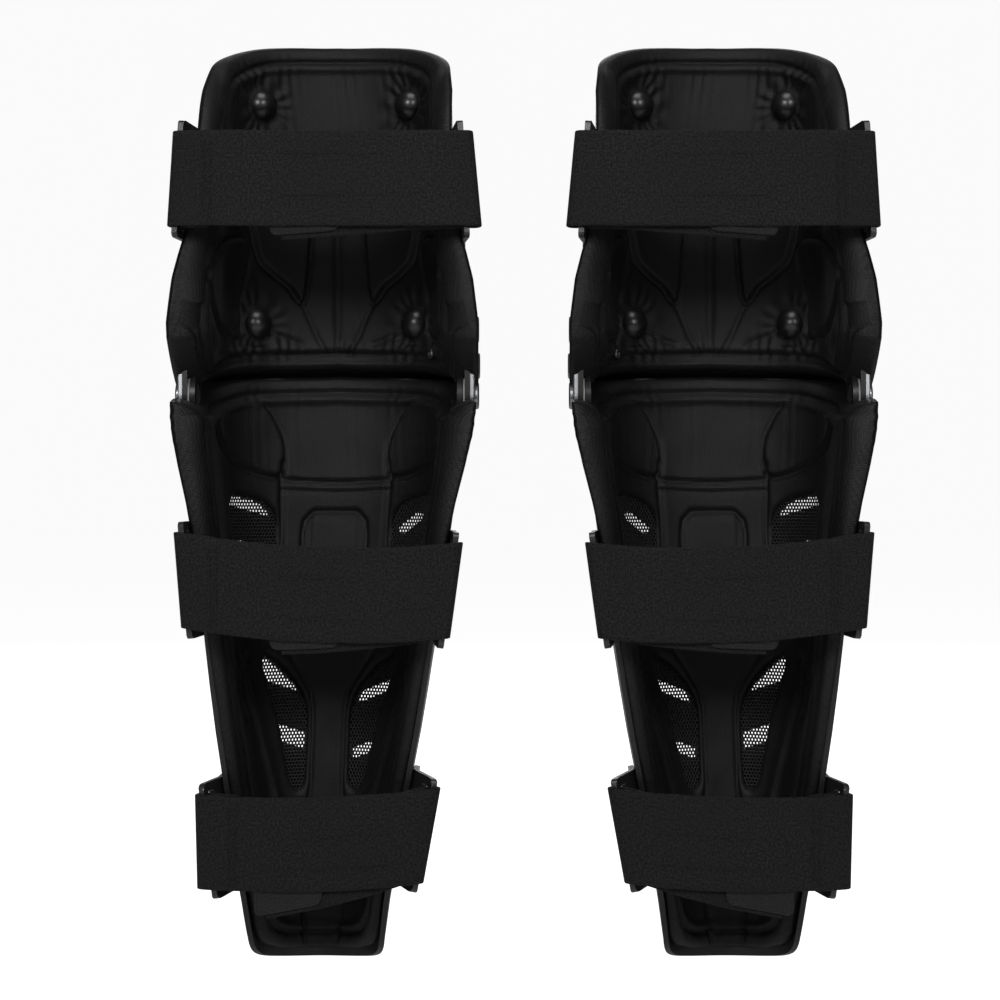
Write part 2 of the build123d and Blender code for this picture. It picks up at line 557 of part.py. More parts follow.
def make_bracket_rivets(straps):
    """Flat-headed rivets through a loop's flange, ending inside the shell's wall."""
    rivets = []
    for strap in straps:
        for side in (OUTER, INNER):
            for z in (-BRACKET_RIVET_SPREAD / 2, BRACKET_RIVET_SPREAD / 2):
                head = across(1, LOOP_WALL + SEAT_GAP, -FLANGE_LENGTH / 2, z, BRACKET_RIVET_HEAD,
                              BRACKET_RIVET_HEIGHT)
                head = fillet(head.edges().sort_by(Axis.X)[-1], 0.7)
                shank = across(1, -1.6, -FLANGE_LENGTH / 2, z, BRACKET_RIVET_RADIUS, 1.6 + LOOP_WALL + 0.5)
                rivets.append(to_guard(strap, side, head + shank))
    return rivets


# ---- straps ----
def bar_place(strap, side, up):
    """Centre of a loop's bar in plan, at a distance up from the loop's middle."""
    z, flange_y, bend, lean, x = loop_place(strap, side)
    at = LOOP_LENGTH - LOOP_BAR / 2
    return (x + side * (LOOP_WALL / 2 + at * sin(radians(bend))) + lean * up,
            flange_y - FLANGE_LENGTH - at * cos(radians(bend)), bend)


def wrap_points(strap, side, up):
    """The band's four corners round a loop's bar, from behind it to inside it."""
    x, y, bend = bar_place(strap, side, up)
    along = Vector(side * sin(radians(bend)), -cos(radians(bend)))
    out = Vector(side * cos(radians(bend)), sin(radians(bend)))
    end = LOOP_BAR / 2 + BAR_CLEARANCE + STRAP_THICKNESS / 2
    face = LOOP_WALL / 2 + BAR_CLEARANCE + STRAP_THICKNESS / 2
    corners = [along * end - out * face, along * end + out * face,
               -along * end + out * face, -along * end - out * face]
    return [Vector(x, y) + corner for corner in corners]


def band_outline(line, thickness):
    """The closed outline, as points in plan, of a band along a line with rounded corners."""
    one_side, other_side = [], []
    for i, point in enumerate(line):
        before = (point - line[i - 1]).normalized() if i else (line[1] - point).normalized()
        after = (line[i + 1] - point).normalized() if i + 1 < len(line) else before
        turn = atan2(before.X * after.Y - before.Y * after.X, before.dot(after))
        radius = STRAP_CORNER if turn > 0 else -STRAP_CORNER
        left_of = Vector(-before.Y, before.X)
        centre = point - before * abs(radius * tan(turn / 2)) + left_of * radius
        for step in range(CORNER_STEPS + 1):
            normal = left_of.rotate(Axis.Z, degrees(turn) * step / CORNER_STEPS)
            on_line = centre - normal * radius
            if i in (0, len(line) - 1):
                if step:
                    continue
                normal, on_line = left_of, point
            one_side.append(on_line + normal * thickness / 2)
            other_side.append(on_line - normal * thickness / 2)
    return one_side + other_side[::-1]


def rear_line(strap, up):
    """The outer layer between the loops: its two shoulders and the middle."""
    left, right = wrap_points(strap, OUTER, up), wrap_points(strap, INNER, up)
    back = (left[0].Y + right[0].Y) / 2 - STRAP_BULGE
    middle = (left[0].X + right[0].X) / 2
    shoulder = (left[0].X + STRAP_SHOULDER, right[0].X - STRAP_SHOULDER)
    rise = (left[0].Y - back, right[0].Y - back)
    return [Vector(shoulder[0], back + rise[0] * SHOULDER_SHARE), Vector(middle, back),
            Vector(shoulder[1], back + rise[1] * SHOULDER_SHARE)]


def behind_line(strap, up, x, pitch):
    """A point on a layer inside the outer layer, at an X between the shoulders."""
    left, middle, right = rear_line(strap, up)
    end = left if x < middle.X else right
    return Vector(x, middle.Y + pitch + (end.Y - middle.Y) * (x - middle.X) / (end.X - middle.X))


def strap_line(strap, up):
    """The band in plan: sewn tail, outer loop, back, inner loop and returned layer."""
    left, right = wrap_points(strap, OUTER, up), wrap_points(strap, INNER, up)
    rear = rear_line(strap, up)
    inward = Vector(0, STRAP_LAYER_PITCH)
    tail_way = rear[0] + inward - left[3]
    tail = left[3] + tail_way * (STRAP_TAIL / tail_way.X)
    turned = [rear[2] + inward, rear[1] + inward, behind_line(strap, up, strap[-1], STRAP_LAYER_PITCH)]
    return [tail] + left[::-1] + rear + right + turned


def band(strap, height, line_at, thickness):
    """A band of a height, lofted between its lower and upper edges and sloped to suit the two loops."""
    middle, slope = (strap[0] + strap[1]) / 2, (strap[1] - strap[0]) / (2 * KNEE_HALF_WIDTH)
    edges = []
    for up in (-height / 2, height / 2):
        outline = band_outline(line_at(up), thickness)
        corners = [(p.X, p.Y, middle + up + slope * p.X) for p in outline]
        edges.append(make_face(Polyline(*corners, close=True)))
    return loft(edges, ruled=True)


def make_strap(strap):
    return band(strap, STRAP_WIDTH, lambda up: strap_line(strap, up), STRAP_THICKNESS)


def make_patch(strap):
    """The hook patch sewn to the end of the returned layer, facing the outer layer."""
    pitch = STRAP_LAYER_PITCH - (STRAP_THICKNESS + PATCH_THICKNESS) / 2 - SEAT_GAP
    near = strap[-1] - PATCH_OVERHANG

    def line_at(up):
        places = near, rear_line(strap, up)[1].X, near + PATCH_LENGTH
        return [behind_line(strap, up, x, pitch) for x in places]
    return band(strap, STRAP_WIDTH - 4, line_at, PATCH_THICKNESS)


# ---- build, place and write ----
def solids_of(shape):
    shapes = shape if isinstance(shape, (list, tuple)) else [shape]
    return [solid for one in shapes for solid in one.solids()]


NODES = {
    "shin_shell": make_shin_shell,
    "shin_plate": make_shin_plate,
    "shin_plate_screws": make_shin_plate_screws,
    "shin_liner": make_shin_foam,
    "shin_mesh": make_shin_mesh,
    "middle_loop_outer": lambda: make_bracket(MIDDLE_STRAP, OUTER),
    "middle_loop_inner": lambda: make_bracket(MIDDLE_STRAP, INNER),
    "lower_loop_outer": lambda: make_bracket(LOWER_STRAP, OUTER),
    "lower_loop_inner": lambda: make_bracket(LOWER_STRAP, INNER),
    "shin_loop_rivets": lambda: make_bracket_rivets([MIDDLE_STRAP, LOWER_STRAP]),
    "middle_strap": lambda: make_strap(MIDDLE_STRAP),
    "lower_strap": lambda: make_strap(LOWER_STRAP),
    "shin_strap_patches": lambda: [make_patch(MIDDLE_STRAP), make_patch(LOWER_STRAP)],
    "knee_cup": make_knee_cup,
    "knee_arm_outer": lambda: make_arm(OUTER),
    "knee_arm_inner": lambda: make_arm(INNER),
    "knee_cup_rivets": make_cup_rivets,
    "pivot_rivets": make_pivot_rivets,
    "pivot_washers": make_pivot_washers,
    "knee_liner": make_knee_foam,
    "knee_domes": lambda: make_domes(*KNEE_DOME, CUP_OUTER, CUP_OUTER + CUP_DOME),
    "thigh_shell": make_thigh_shell,
    "thigh_liner": make_thigh_foam,
    "thigh_domes": lambda: make_domes(*THIGH_DOME, SHELL_OUTER, SHELL_OUTER),
    "upper_loop_outer": lambda: make_bracket(UPPER_STRAP, OUTER),
    "upper_loop_inner": lambda: make_bracket(UPPER_STRAP, INNER),
    "thigh_loop_rivets": lambda: make_bracket_rivets([UPPER_STRAP]),
    "upper_strap": lambda: make_strap(UPPER_STRAP),
    "upper_strap_patch": lambda: make_patch(UPPER_STRAP),
}

os.makedirs("parts", exist_ok=True)
for name, make in NODES.items():
    left = [Pos(-GUARD_SPACING / 2, 0, 0) * solid for solid in solids_of(make())]
    right = [mirror(solid, about=Plane.YZ) for solid in left]
    export_step(Compound(children=left) if len(left) > 1 else left[0], f"parts/left_{name}.step")
    export_step(Compound(children=right) if len(right) > 1 else right[0], f"parts/right_{name}.step")
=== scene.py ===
import json
import math
import bpy
import numpy as np
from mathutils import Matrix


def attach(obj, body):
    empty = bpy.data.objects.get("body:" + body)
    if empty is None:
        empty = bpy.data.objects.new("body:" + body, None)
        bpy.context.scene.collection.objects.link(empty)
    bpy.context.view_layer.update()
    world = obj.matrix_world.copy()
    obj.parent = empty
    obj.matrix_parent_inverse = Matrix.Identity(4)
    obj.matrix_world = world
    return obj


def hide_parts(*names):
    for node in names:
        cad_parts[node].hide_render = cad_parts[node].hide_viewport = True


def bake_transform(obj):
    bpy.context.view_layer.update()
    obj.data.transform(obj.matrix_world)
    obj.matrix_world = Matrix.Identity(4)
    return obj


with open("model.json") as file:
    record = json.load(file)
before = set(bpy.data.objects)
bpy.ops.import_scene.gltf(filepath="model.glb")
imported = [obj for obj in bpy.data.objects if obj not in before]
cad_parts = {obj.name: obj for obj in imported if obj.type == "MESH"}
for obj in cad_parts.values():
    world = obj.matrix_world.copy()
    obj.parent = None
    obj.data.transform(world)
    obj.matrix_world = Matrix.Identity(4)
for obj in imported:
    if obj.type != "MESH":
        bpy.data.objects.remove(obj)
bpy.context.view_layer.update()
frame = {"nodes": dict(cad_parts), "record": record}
print("frame loaded with", len(frame["nodes"]), "nodes")

mm = 0.001
tiny, farAway = 1e-12, 1e9
uvName = "clothUv"
sides = ("left", "right")

# the leg form that the shells and liners follow: height, half width, depth in front of the knee plane
legForm = [
    (-6.0, 32.5, 41.5), (18.0, 34.6, 43.4), (40.0, 37.0, 45.0), (62.0, 40.0, 46.2), (85.0, 43.5, 47.5),
    (110.0, 47.6, 48.9), (135.0, 51.7, 50.2), (160.0, 55.2, 51.5), (185.0, 58.3, 52.7), (210.0, 61.1, 53.8),
    (235.0, 63.7, 54.9), (260.0, 66.5, 56.0), (280.0, 69.0, 57.0), (296.0, 70.5, 57.7), (306.0, 70.5, 58.0),
    (378.0, 70.5, 58.0), (392.0, 69.2, 57.8), (410.0, 67.0, 57.3), (435.0, 65.4, 56.7), (465.0, 64.4, 56.2),
    (500.0, 63.3, 55.6), (530.0, 62.0, 55.0),
]
formHeights, formHalves, formFronts = (np.array(column) for column in zip(*legForm))
leg = {"flatSide": 8.0, "offset": 107.0, "lean": 8.5, "leanHeight": 300.0, "foam": 8.0, "shellOuter": 3.3,
       "sideLimit": 0.999}
quarterAngles = np.linspace(0.0, math.pi / 2, 41)
stepsPerSpan = 24  # of a smooth run, between two of its points


# selecting and modifying, as by hand
def editMode():
    bpy.ops.object.mode_set(mode="EDIT")


def objectMode():
    bpy.ops.object.mode_set(mode="OBJECT")


def deselectAll():
    if bpy.context.object and bpy.context.object.mode != "OBJECT":
        objectMode()
    bpy.ops.object.select_all(action="DESELECT")


def activate(obj):
    deselectAll()
    obj.select_set(True)
    bpy.context.view_layer.objects.active = obj


def applyModifier(obj, kind, **settings):
    activate(obj)
    modifier = obj.modifiers.new(kind.title(), kind)
    for key, value in settings.items():
        setattr(modifier, key, value)
    bpy.ops.object.modifier_apply(modifier=modifier.name)


def bevelEdges(obj, width, degrees=50):
    applyModifier(obj, "BEVEL", width=width * mm, segments=2, limit_method="ANGLE", angle_limit=math.radians(degrees))


def meshPoints(obj):
    points = np.empty(len(obj.data.vertices) * 3)
    obj.data.vertices.foreach_get("co", points)
    return points.reshape(-1, 3)


def setMeshPoints(obj, points):
    obj.data.vertices.foreach_set("co", np.asarray(points, np.float32).ravel())
    obj.data.update()


def addGrid(name, columns, rows):
    deselectAll()
    bpy.ops.mesh.primitive_grid_add(x_subdivisions=columns, y_subdivisions=rows, size=2.0)
    obj = bpy.context.object
    obj.name = obj.data.name = name
    return obj


def turnRound(obj):
    activate(obj)
    editMode()
    bpy.ops.mesh.select_all(action="SELECT")
    bpy.ops.mesh.flip_normals()
    objectMode()


def smoothed(obj):
    activate(obj)
    bpy.ops.object.shade_smooth()
    return obj


def fromFaces(name, points, faces):
    mesh = bpy.data.meshes.new(name)
    mesh.from_pydata(points.tolist(), [], faces)
    obj = bpy.data.objects.new(name, mesh)
    bpy.context.collection.objects.link(obj)
    return obj


def faceOutwards(obj):
    # turns the whole closed skin round if its volume comes out negative
    points = meshPoints(obj)
    obj.data.calc_loop_triangles()
    corners = np.empty(len(obj.data.loop_triangles) * 3, int)
    obj.data.loop_triangles.foreach_get("vertices", corners)
    a, b, c = (points[corners.reshape(-1, 3)[:, k]] for k in range(3))
    if np.einsum("ij,ij->i", a, np.cross(b, c)).sum() < 0:
        turnRound(obj)


def setUv(obj, pointUv):
    obj.data.uv_layers.get(uvName) or obj.data.uv_layers.new(name=uvName)
    for other in [uv for uv in obj.data.uv_layers if uv.name != uvName]:
        obj.data.uv_layers.remove(other)
    corners = np.empty(len(obj.data.loops), int)
    obj.data.loops.foreach_get("vertex_index", corners)
    layer = obj.data.uv_layers[uvName]
    layer.data.foreach_set("uv", np.asarray(pointUv, np.float32)[corners].ravel())


def mirrored(obj, name):
    # the right-hand copy of a left-hand piece, with its own mesh
    activate(obj)
    bpy.ops.object.duplicate()
    copy = bpy.context.object
    copy.name = copy.data.name = name
    points = meshPoints(copy)
    points[:, 0] *= -1
    setMeshPoints(copy, points)
    turnRound(copy)
    return copy


# the leg form as a surface: distance round from the front, height, depth inwards
def centreAt(z):
    return -leg["lean"] * np.maximum(0.0, 1.0 - np.asarray(z) / leg["leanHeight"])


def formSize(z):
    return np.interp(z, formHeights, formHalves), np.interp(z, formHeights, formFronts) - leg["flatSide"]


def roundTable(z):
    half, deep = formSize(np.atleast_1d(z))
    steps = np.hypot(np.diff(half[:, None] * np.sin(quarterAngles), axis=1),
                     np.diff(deep[:, None] * np.cos(quarterAngles), axis=1))
    return half, deep, np.concatenate([np.zeros((len(half), 1)), np.cumsum(steps, axis=1)], axis=1)


def formPoint(around, z, depth):
    half, deep, table = roundTable(z)
    reach = np.abs(around)
    onFront = np.minimum(reach, table[:, -1])
    step = np.clip((table < onFront[:, None]).sum(1), 1, len(quarterAngles) - 1)
    row = np.arange(len(z))
    share = (onFront - table[row, step - 1]) / np.maximum(table[row, step] - table[row, step - 1], tiny)
    angle = quarterAngles[step - 1] + share * (quarterAngles[step] - quarterAngles[step - 1])
    x = centreAt(z) + np.sign(around) * (half - depth) * np.sin(angle)
    y = leg["flatSide"] + (deep - depth) * np.cos(angle) - np.maximum(reach - table[:, -1], 0.0)
    return np.stack([x - leg["offset"], y, z], axis=1) * mm


def aroundFromY(y, z):
    deep, table = roundTable(z)[1:]
    if y < leg["flatSide"]:
        return table[0, -1] + leg["flatSide"] - y
    return float(np.interp(math.acos(min(1.0, (y - leg["flatSide"]) / deep[0])), quarterAngles, table[0]))


def aroundFromX(x, z):
    # x is measured on the liner's inner face, as it is seen from behind
    half, deep, table = roundTable(z)
    share = max(-leg["sideLimit"], min(leg["sideLimit"], x / (half[0] - leg["foam"])))
    return math.copysign(float(np.interp(abs(math.asin(share)), quarterAngles, table[0])), x)


def onForm(point):
    # (x, z) on the front, or (side, z, y) on a side wall
    if len(point) == 3:
        return [point[0] * aroundFromY(point[2], point[1]), point[1]]
    return [aroundFromX(point[0], point[1]), point[1]]


def pathOnForm(points, flip=1):
    return np.array([[flip * a, z] for a, z in map(onForm, points)])


def smoothRun(points, count, closed=False):
    # a smooth run through the points, evenly spaced
    points = np.asarray(points, float)
    if closed:
        padded = np.vstack([points[-1], points, points[0], points[1]])
    else:
        padded = np.vstack([2 * points[0] - points[1], points, 2 * points[-1] - points[-2]])
    t = np.linspace(0, 1, stepsPerSpan, endpoint=False)[:, None]
    runs = []
    for p0, p1, p2, p3 in zip(padded, padded[1:], padded[2:], padded[3:]):
        runs.append(0.5 * (2 * p1 + (p2 - p0) * t + (2 * p0 - 5 * p1 + 4 * p2 - p3) * t ** 2
                           + (3 * p1 - p0 - 3 * p2 + p3) * t ** 3))
    run = np.vstack(runs + [padded[-2][None]])
    along = np.concatenate([[0], np.cumsum(np.hypot(*np.diff(run, axis=0).T))])
    at = np.linspace(0, along[-1], count, endpoint=not closed)
    return np.stack([np.interp(at, along, run[:, 0]), np.interp(at, along, run[:, 1])], axis=1)


def nearest(points, path, closed=False):
    # distance to a path, and the nearest point on it
    path = np.vstack([path, path[0]]) if closed else path
    best = np.full(len(points), farAway)
    spot = np.zeros_like(points)
    for a, b in zip(path, path[1:]):
        run = b - a
        t = np.clip(((points - a) @ run) / max(run @ run, tiny), 0, 1)[:, None]
        at = a + t * run
        gap = np.hypot(*(points - at).T)
        nearer = gap < best
        best[nearer], spot[nearer] = gap[nearer], at[nearer]
    return best, spot


def within(points, loop):
    inside = np.zeros(len(points), bool)
    for a, b in zip(loop, np.roll(loop, -1, axis=0)):
        crosses = (a[1] > points[:, 1]) != (b[1] > points[:, 1])
        x = a[0] + (points[:, 1] - a[1]) * (b[0] - a[0]) / (b[1] - a[1] + tiny)
        inside ^= crosses & (points[:, 0] < x)
    return inside


def easeTo(x, low, high):
    t = np.clip((x - low) / (high - low), 0, 1)
    return t * t * (3 - 2 * t)


def fadeAbove(x, low, high):
    return 1 - easeTo(x, low, high)


def bump(x, middle, width):
    return np.exp(-((x - middle) / width) ** 2)


def waves(x, rows):
    # each row is a height, its middle and its width
    return sum(height * bump(x, middle, width) for height, middle, width in rows)


# padded liners: one moulded foam skin each, covered in cloth
liner = {
    "thickness": 7.7, "rimWall": 2.2, "rimRound": 6.5, "outerGap": 0.12, "holeWall": 3.6, "holeRound": 4.0,
    "rimEase": 5.0, "holeEase": 3.0, "holeLeast": 0.15,  # how the relief dies away towards an edge
    "snap": 0.6, "rimStride": 3, "footPoints": 130, "headPoints": 130, "rearPoints": 140,
    "padStart": 0.2, "padGroove": -0.3, "padPoints": 60, "windowCuts": 3, "windowShare": 0.2,
    "flareReach": 11.0, "notchReach": 17.0, "notch": (306.0, 366.0), "flareSide": (60, 100), "flareTop": (440, 480),
    # height and how far the lip flares outwards there
    "flare": [(0, 0), (150, 0), (190, 1.0), (230, 3.2), (259, 5.4), (285, 8.2), (306, 11.0), (330, 12.2),
              (355, 12.6), (380, 9.5), (400, 6.3), (420, 4.6), (440, 3.4), (484, 4.4), (500, 3.0), (512, 1.2),
              (530, 0.3)],
}


def bothEnds(path):
    # a left-to-right run from its left half, which ends on the centre line
    half = np.array(path, float)
    return np.vstack([half * [-1, 1], (half[:-1])[::-1]])


def rimRun(points, count):
    return smoothRun([[aroundFromY(y, z), z] for y, z in points], count)


def linerEdges(piece):
    foot = rimRun(piece["foot"], liner["footPoints"])
    head = rimRun(piece["head"], liner["headPoints"])
    rear = rimRun(piece["rear"], liner["rearPoints"])
    return bothEnds(foot), bothEnds(head), rear * [-1, 1], rear


def bothWays(points, spot):
    # distance to a path on either half of the liner
    return np.minimum(nearest(spot, pathOnForm(points))[0], nearest(spot, pathOnForm(points, -1))[0])


def insideBoth(points, spot):
    loop = smoothRun(pathOnForm(points), liner["padPoints"], closed=True)
    folded = np.stack([np.abs(spot[:, 0]), spot[:, 1]], axis=1)
    gap = nearest(folded, loop, closed=True)[0]
    return np.where(within(folded, loop), gap, -gap)


def domeRelief(piece, a, z):
    # a seat under each dome, and the gathers round it
    h = np.zeros(len(a))
    gathers = piece["gathers"]
    for point in piece["domes"]:
        around, height = onForm(point)
        for flip in (1, -1):
            gap = np.hypot(a - flip * around, z - height)
            turn = np.arctan2(z - height, a - flip * around)
            folds = np.sin(turn * gathers["count"] + gathers["sway"] * np.sin(turn * gathers["swayCount"]))
            h += waves(gap, piece["domeSeat"])
            h += gathers["height"] * folds * bump(gap, gathers["reach"], gathers["width"])
    return h


def reliefOf(piece, spot, rimGap, footGap):
    a, z = spot[:, 0], spot[:, 1]
    h = waves(rimGap, piece["rimSeam"]) + waves(footGap, piece.get("footSeam", []))
    for pad in piece["pads"]:
        inside = insideBoth(pad["outline"], spot)
        raised = pad["height"] * easeTo(inside, liner["padStart"], pad["rise"])
        raised -= pad["groove"] * bump(inside, liner["padGroove"], pad["grooveWidth"])
        h += raised * (fadeAbove(z, *pad["fade"]) if "fade" in pad else 1.0)
    for path, height, width in piece["lines"]:
        h += height * bump(bothWays(path, spot), 0.0, width)
    crest = piece["crest"]
    across = bump(a, 0.0, crest["width"]) if "width" in crest else fadeAbove(np.abs(a), *crest["across"])
    h += crest["height"] * across * easeTo(z, *crest["foot"]) * fadeAbove(z, *crest["head"])
    if "domes" in piece:
        h += domeRelief(piece, a, z)
    pucker, slack = piece["pucker"], piece["slack"]
    folds = np.sin(a * pucker["rate"] + pucker["sway"] * np.sin(z / pucker["swayHeight"]))
    groups = 0.5 + 0.5 * np.sin(a * pucker["groupRate"] + pucker["groupStart"])
    h += folds * groups * waves(z, pucker["where"])
    rolls = np.sin(z * slack["rate"] + slack["sway"] * np.sin(a * slack["swayRate"]))
    return h + slack["height"] * rolls * np.sin(a * slack["roundRate"] + slack["roundStart"])


def linerSkin(name, piece, holes):
    obj = addGrid(name, *piece["grid"])
    unit = (meshPoints(obj)[:, :2] + 1) / 2
    u, v = unit[:, 0], unit[:, 1]
    foot, head, rearLeft, rearRight = linerEdges(piece)

    def at(path, t):
        place = np.linspace(0, 1, len(path))
        return np.stack([np.interp(t, place, path[:, 0]), np.interp(t, place, path[:, 1])], axis=1)
    flat = ((1 - v)[:, None] * at(foot, u) + v[:, None] * at(head, u)
            + (1 - u)[:, None] * at(rearLeft, v) + u[:, None] * at(rearRight, v)
            - ((1 - u) * (1 - v))[:, None] * foot[0] - (u * (1 - v))[:, None] * foot[-1]
            - ((1 - u) * v)[:, None] * head[0] - (u * v)[:, None] * head[-1])
    holeGap = np.full(len(flat), farAway)  # nothing inside a hole and on its edge
    for hole in holes:
        gap, spot = nearest(flat, hole, closed=True)
        snap = gap < liner["snap"]
        flat[snap] = spot[snap]
        gap[snap | within(flat, hole)] = 0.0
        holeGap = np.minimum(holeGap, gap)
    stride = liner["rimStride"]
    rim = np.vstack([rearLeft[::stride], head[::stride], rearRight[::-stride], foot[::-stride]])
    rimGap = nearest(flat, rim, closed=True)[0]
    footGap = nearest(flat, foot[::stride])[0]

    # drop the faces inside the holes, and remember each point's place in the grid
    placeLayer = obj.data.attributes.new("place", "INT", "POINT")
    placeLayer.data.foreach_set("value", np.arange(len(flat), dtype=np.int32))
    activate(obj)
    editMode()
    bpy.ops.mesh.select_all(action="DESELECT")
    bpy.ops.mesh.select_mode(type="FACE")
    objectMode()
    corner = np.empty(len(obj.data.loops), int)
    obj.data.loops.foreach_get("vertex_index", corner)
    corner = corner.reshape(-1, 4)
    gone = np.zeros(len(corner), bool)
    for hole in holes:
        gone |= within(flat[corner].mean(1), hole)
    gone &= (holeGap <= 0)[corner].all(1)
    obj.data.polygons.foreach_set("select", gone)
    obj.data.update()
    editMode()
    bpy.ops.mesh.delete(type="FACE")
    objectMode()

    # the cloth-covered inner face, and the plain outer face against the shell
    z = flat[:, 1]
    rounding = np.sqrt(1 - (1 - np.clip(rimGap / liner["rimRound"], 0, 1)) ** 2)
    holeRounding = np.sqrt(1 - (1 - np.clip(holeGap / liner["holeRound"], 0, 1)) ** 2)
    thick = liner["rimWall"] + (liner["thickness"] - liner["rimWall"]) * rounding
    thick = np.minimum(thick, liner["holeWall"] + (liner["thickness"] - liner["holeWall"]) * holeRounding)
    raised = reliefOf(piece, flat, rimGap, footGap) * np.clip(rimGap / liner["rimEase"], 0, 1)
    raised *= np.clip(holeGap / liner["holeEase"], liner["holeLeast"], 1)
    inNotch = (z > liner["notch"][0]) & (z < liner["notch"][1])
    reach = np.where(inNotch, liner["notchReach"], liner["flareReach"])
    onSide = easeTo(np.abs(flat[:, 0]), *liner["flareSide"]) + easeTo(z, *liner["flareTop"])
    flare = np.interp(z, *zip(*liner["flare"])) * np.clip(1 - rimGap / reach, 0, 1) ** 2 * np.clip(onSide, 0, 1)
    inner = formPoint(flat[:, 0], z, thick + raised - flare)
    outer = formPoint(flat[:, 0], z, liner["outerGap"] - flare)
    applyModifier(obj, "SOLIDIFY", thickness=0.5, offset=-1.0)  # a second layer, placed point by point below
    place = np.empty(len(obj.data.vertices), np.int32)
    obj.data.attributes["place"].data.foreach_get("value", place)
    points = inner[place]
    points[len(place) // 2:] = outer[place[len(place) // 2:]]
    setMeshPoints(obj, points)
    setUv(obj, flat[place] * mm)
    obj.data.attributes.remove(obj.data.attributes["place"])
    faceOutwards(obj)
    print(name, len(obj.data.polygons), "faces")
    return smoothed(obj)


# outlines are (y, z) on the left side wall; paths are (x, z) or (side, z, y), and each line has a height and a width
upperLiner = {
    "grid": (280, 170),
    "foot": [(-38.5, 347), (-31, 339), (-20, 329.5), (-8, 321.5), (6, 323.8), (24, 329), (42, 333.2), (58, 335.3)],
    "rear": [(-38.5, 347), (-40, 362), (-39, 384), (-36.5, 405), (-33.5, 428), (-29.5, 449), (-24.5, 464)],
    "head": [(-24.5, 464), (-18.5, 475.5), (-8, 487.5), (4, 498), (20, 508), (38, 516.8), (50, 520.6), (57, 521.6)],
    "rimSeam": [(-2.0, 9.5, 1.1), (1.5, 13.5, 2.0)],
    "footSeam": [(-1.8, 6.5, 0.8), (0.7, 3.8, 1.6)],
    "pads": [
        {"outline": [(14.5, 440), (15.0, 409), (19.0, 374.5), (28, 383), (38, 391), (45, 402), (48, 440)],
         "height": 2.2, "rise": 3.0, "groove": 1.8, "grooveWidth": 1.1, "fade": (425, 448)},
        {"outline": [(50, 409), (1, 389, -22), (1, 371, -18), (55.5, 351), (53, 372)],
         "height": 2.0, "rise": 3.5, "groove": 1.6, "grooveWidth": 1.2},
    ],
    "lines": [([(19.5, 373), (11, 353), (6, 344)], -1.4, 1.5), ([(52, 372), (34, 356), (20, 350)], -1.4, 1.5)],
    "crest": {"height": 1.8, "width": 3.0, "foot": (346, 366), "head": (420, 446)},
    "domes": [(41.0, 485.0), (44.5, 361.0)],
    "domeSeat": [(1.5, 0.0, 8.0), (-0.9, 11.0, 3.0)],
    "gathers": {"height": 0.55, "count": 13, "sway": 2.0, "swayCount": 3, "reach": 16.0, "width": 5.0},
    "pucker": {"rate": 0.95, "sway": 2.2, "swayHeight": 13.0, "groupRate": 0.17, "groupStart": 1.0,
               "where": [(0.5, 349, 8), (0.3, 500, 14), (0.2, 460, 18)]},
    "slack": {"height": 0.22, "rate": 0.21, "sway": 1.7, "swayRate": 0.06, "roundRate": 0.083, "roundStart": 0.6},
}
upper = linerSkin("leftUpperLiner", upperLiner, [])

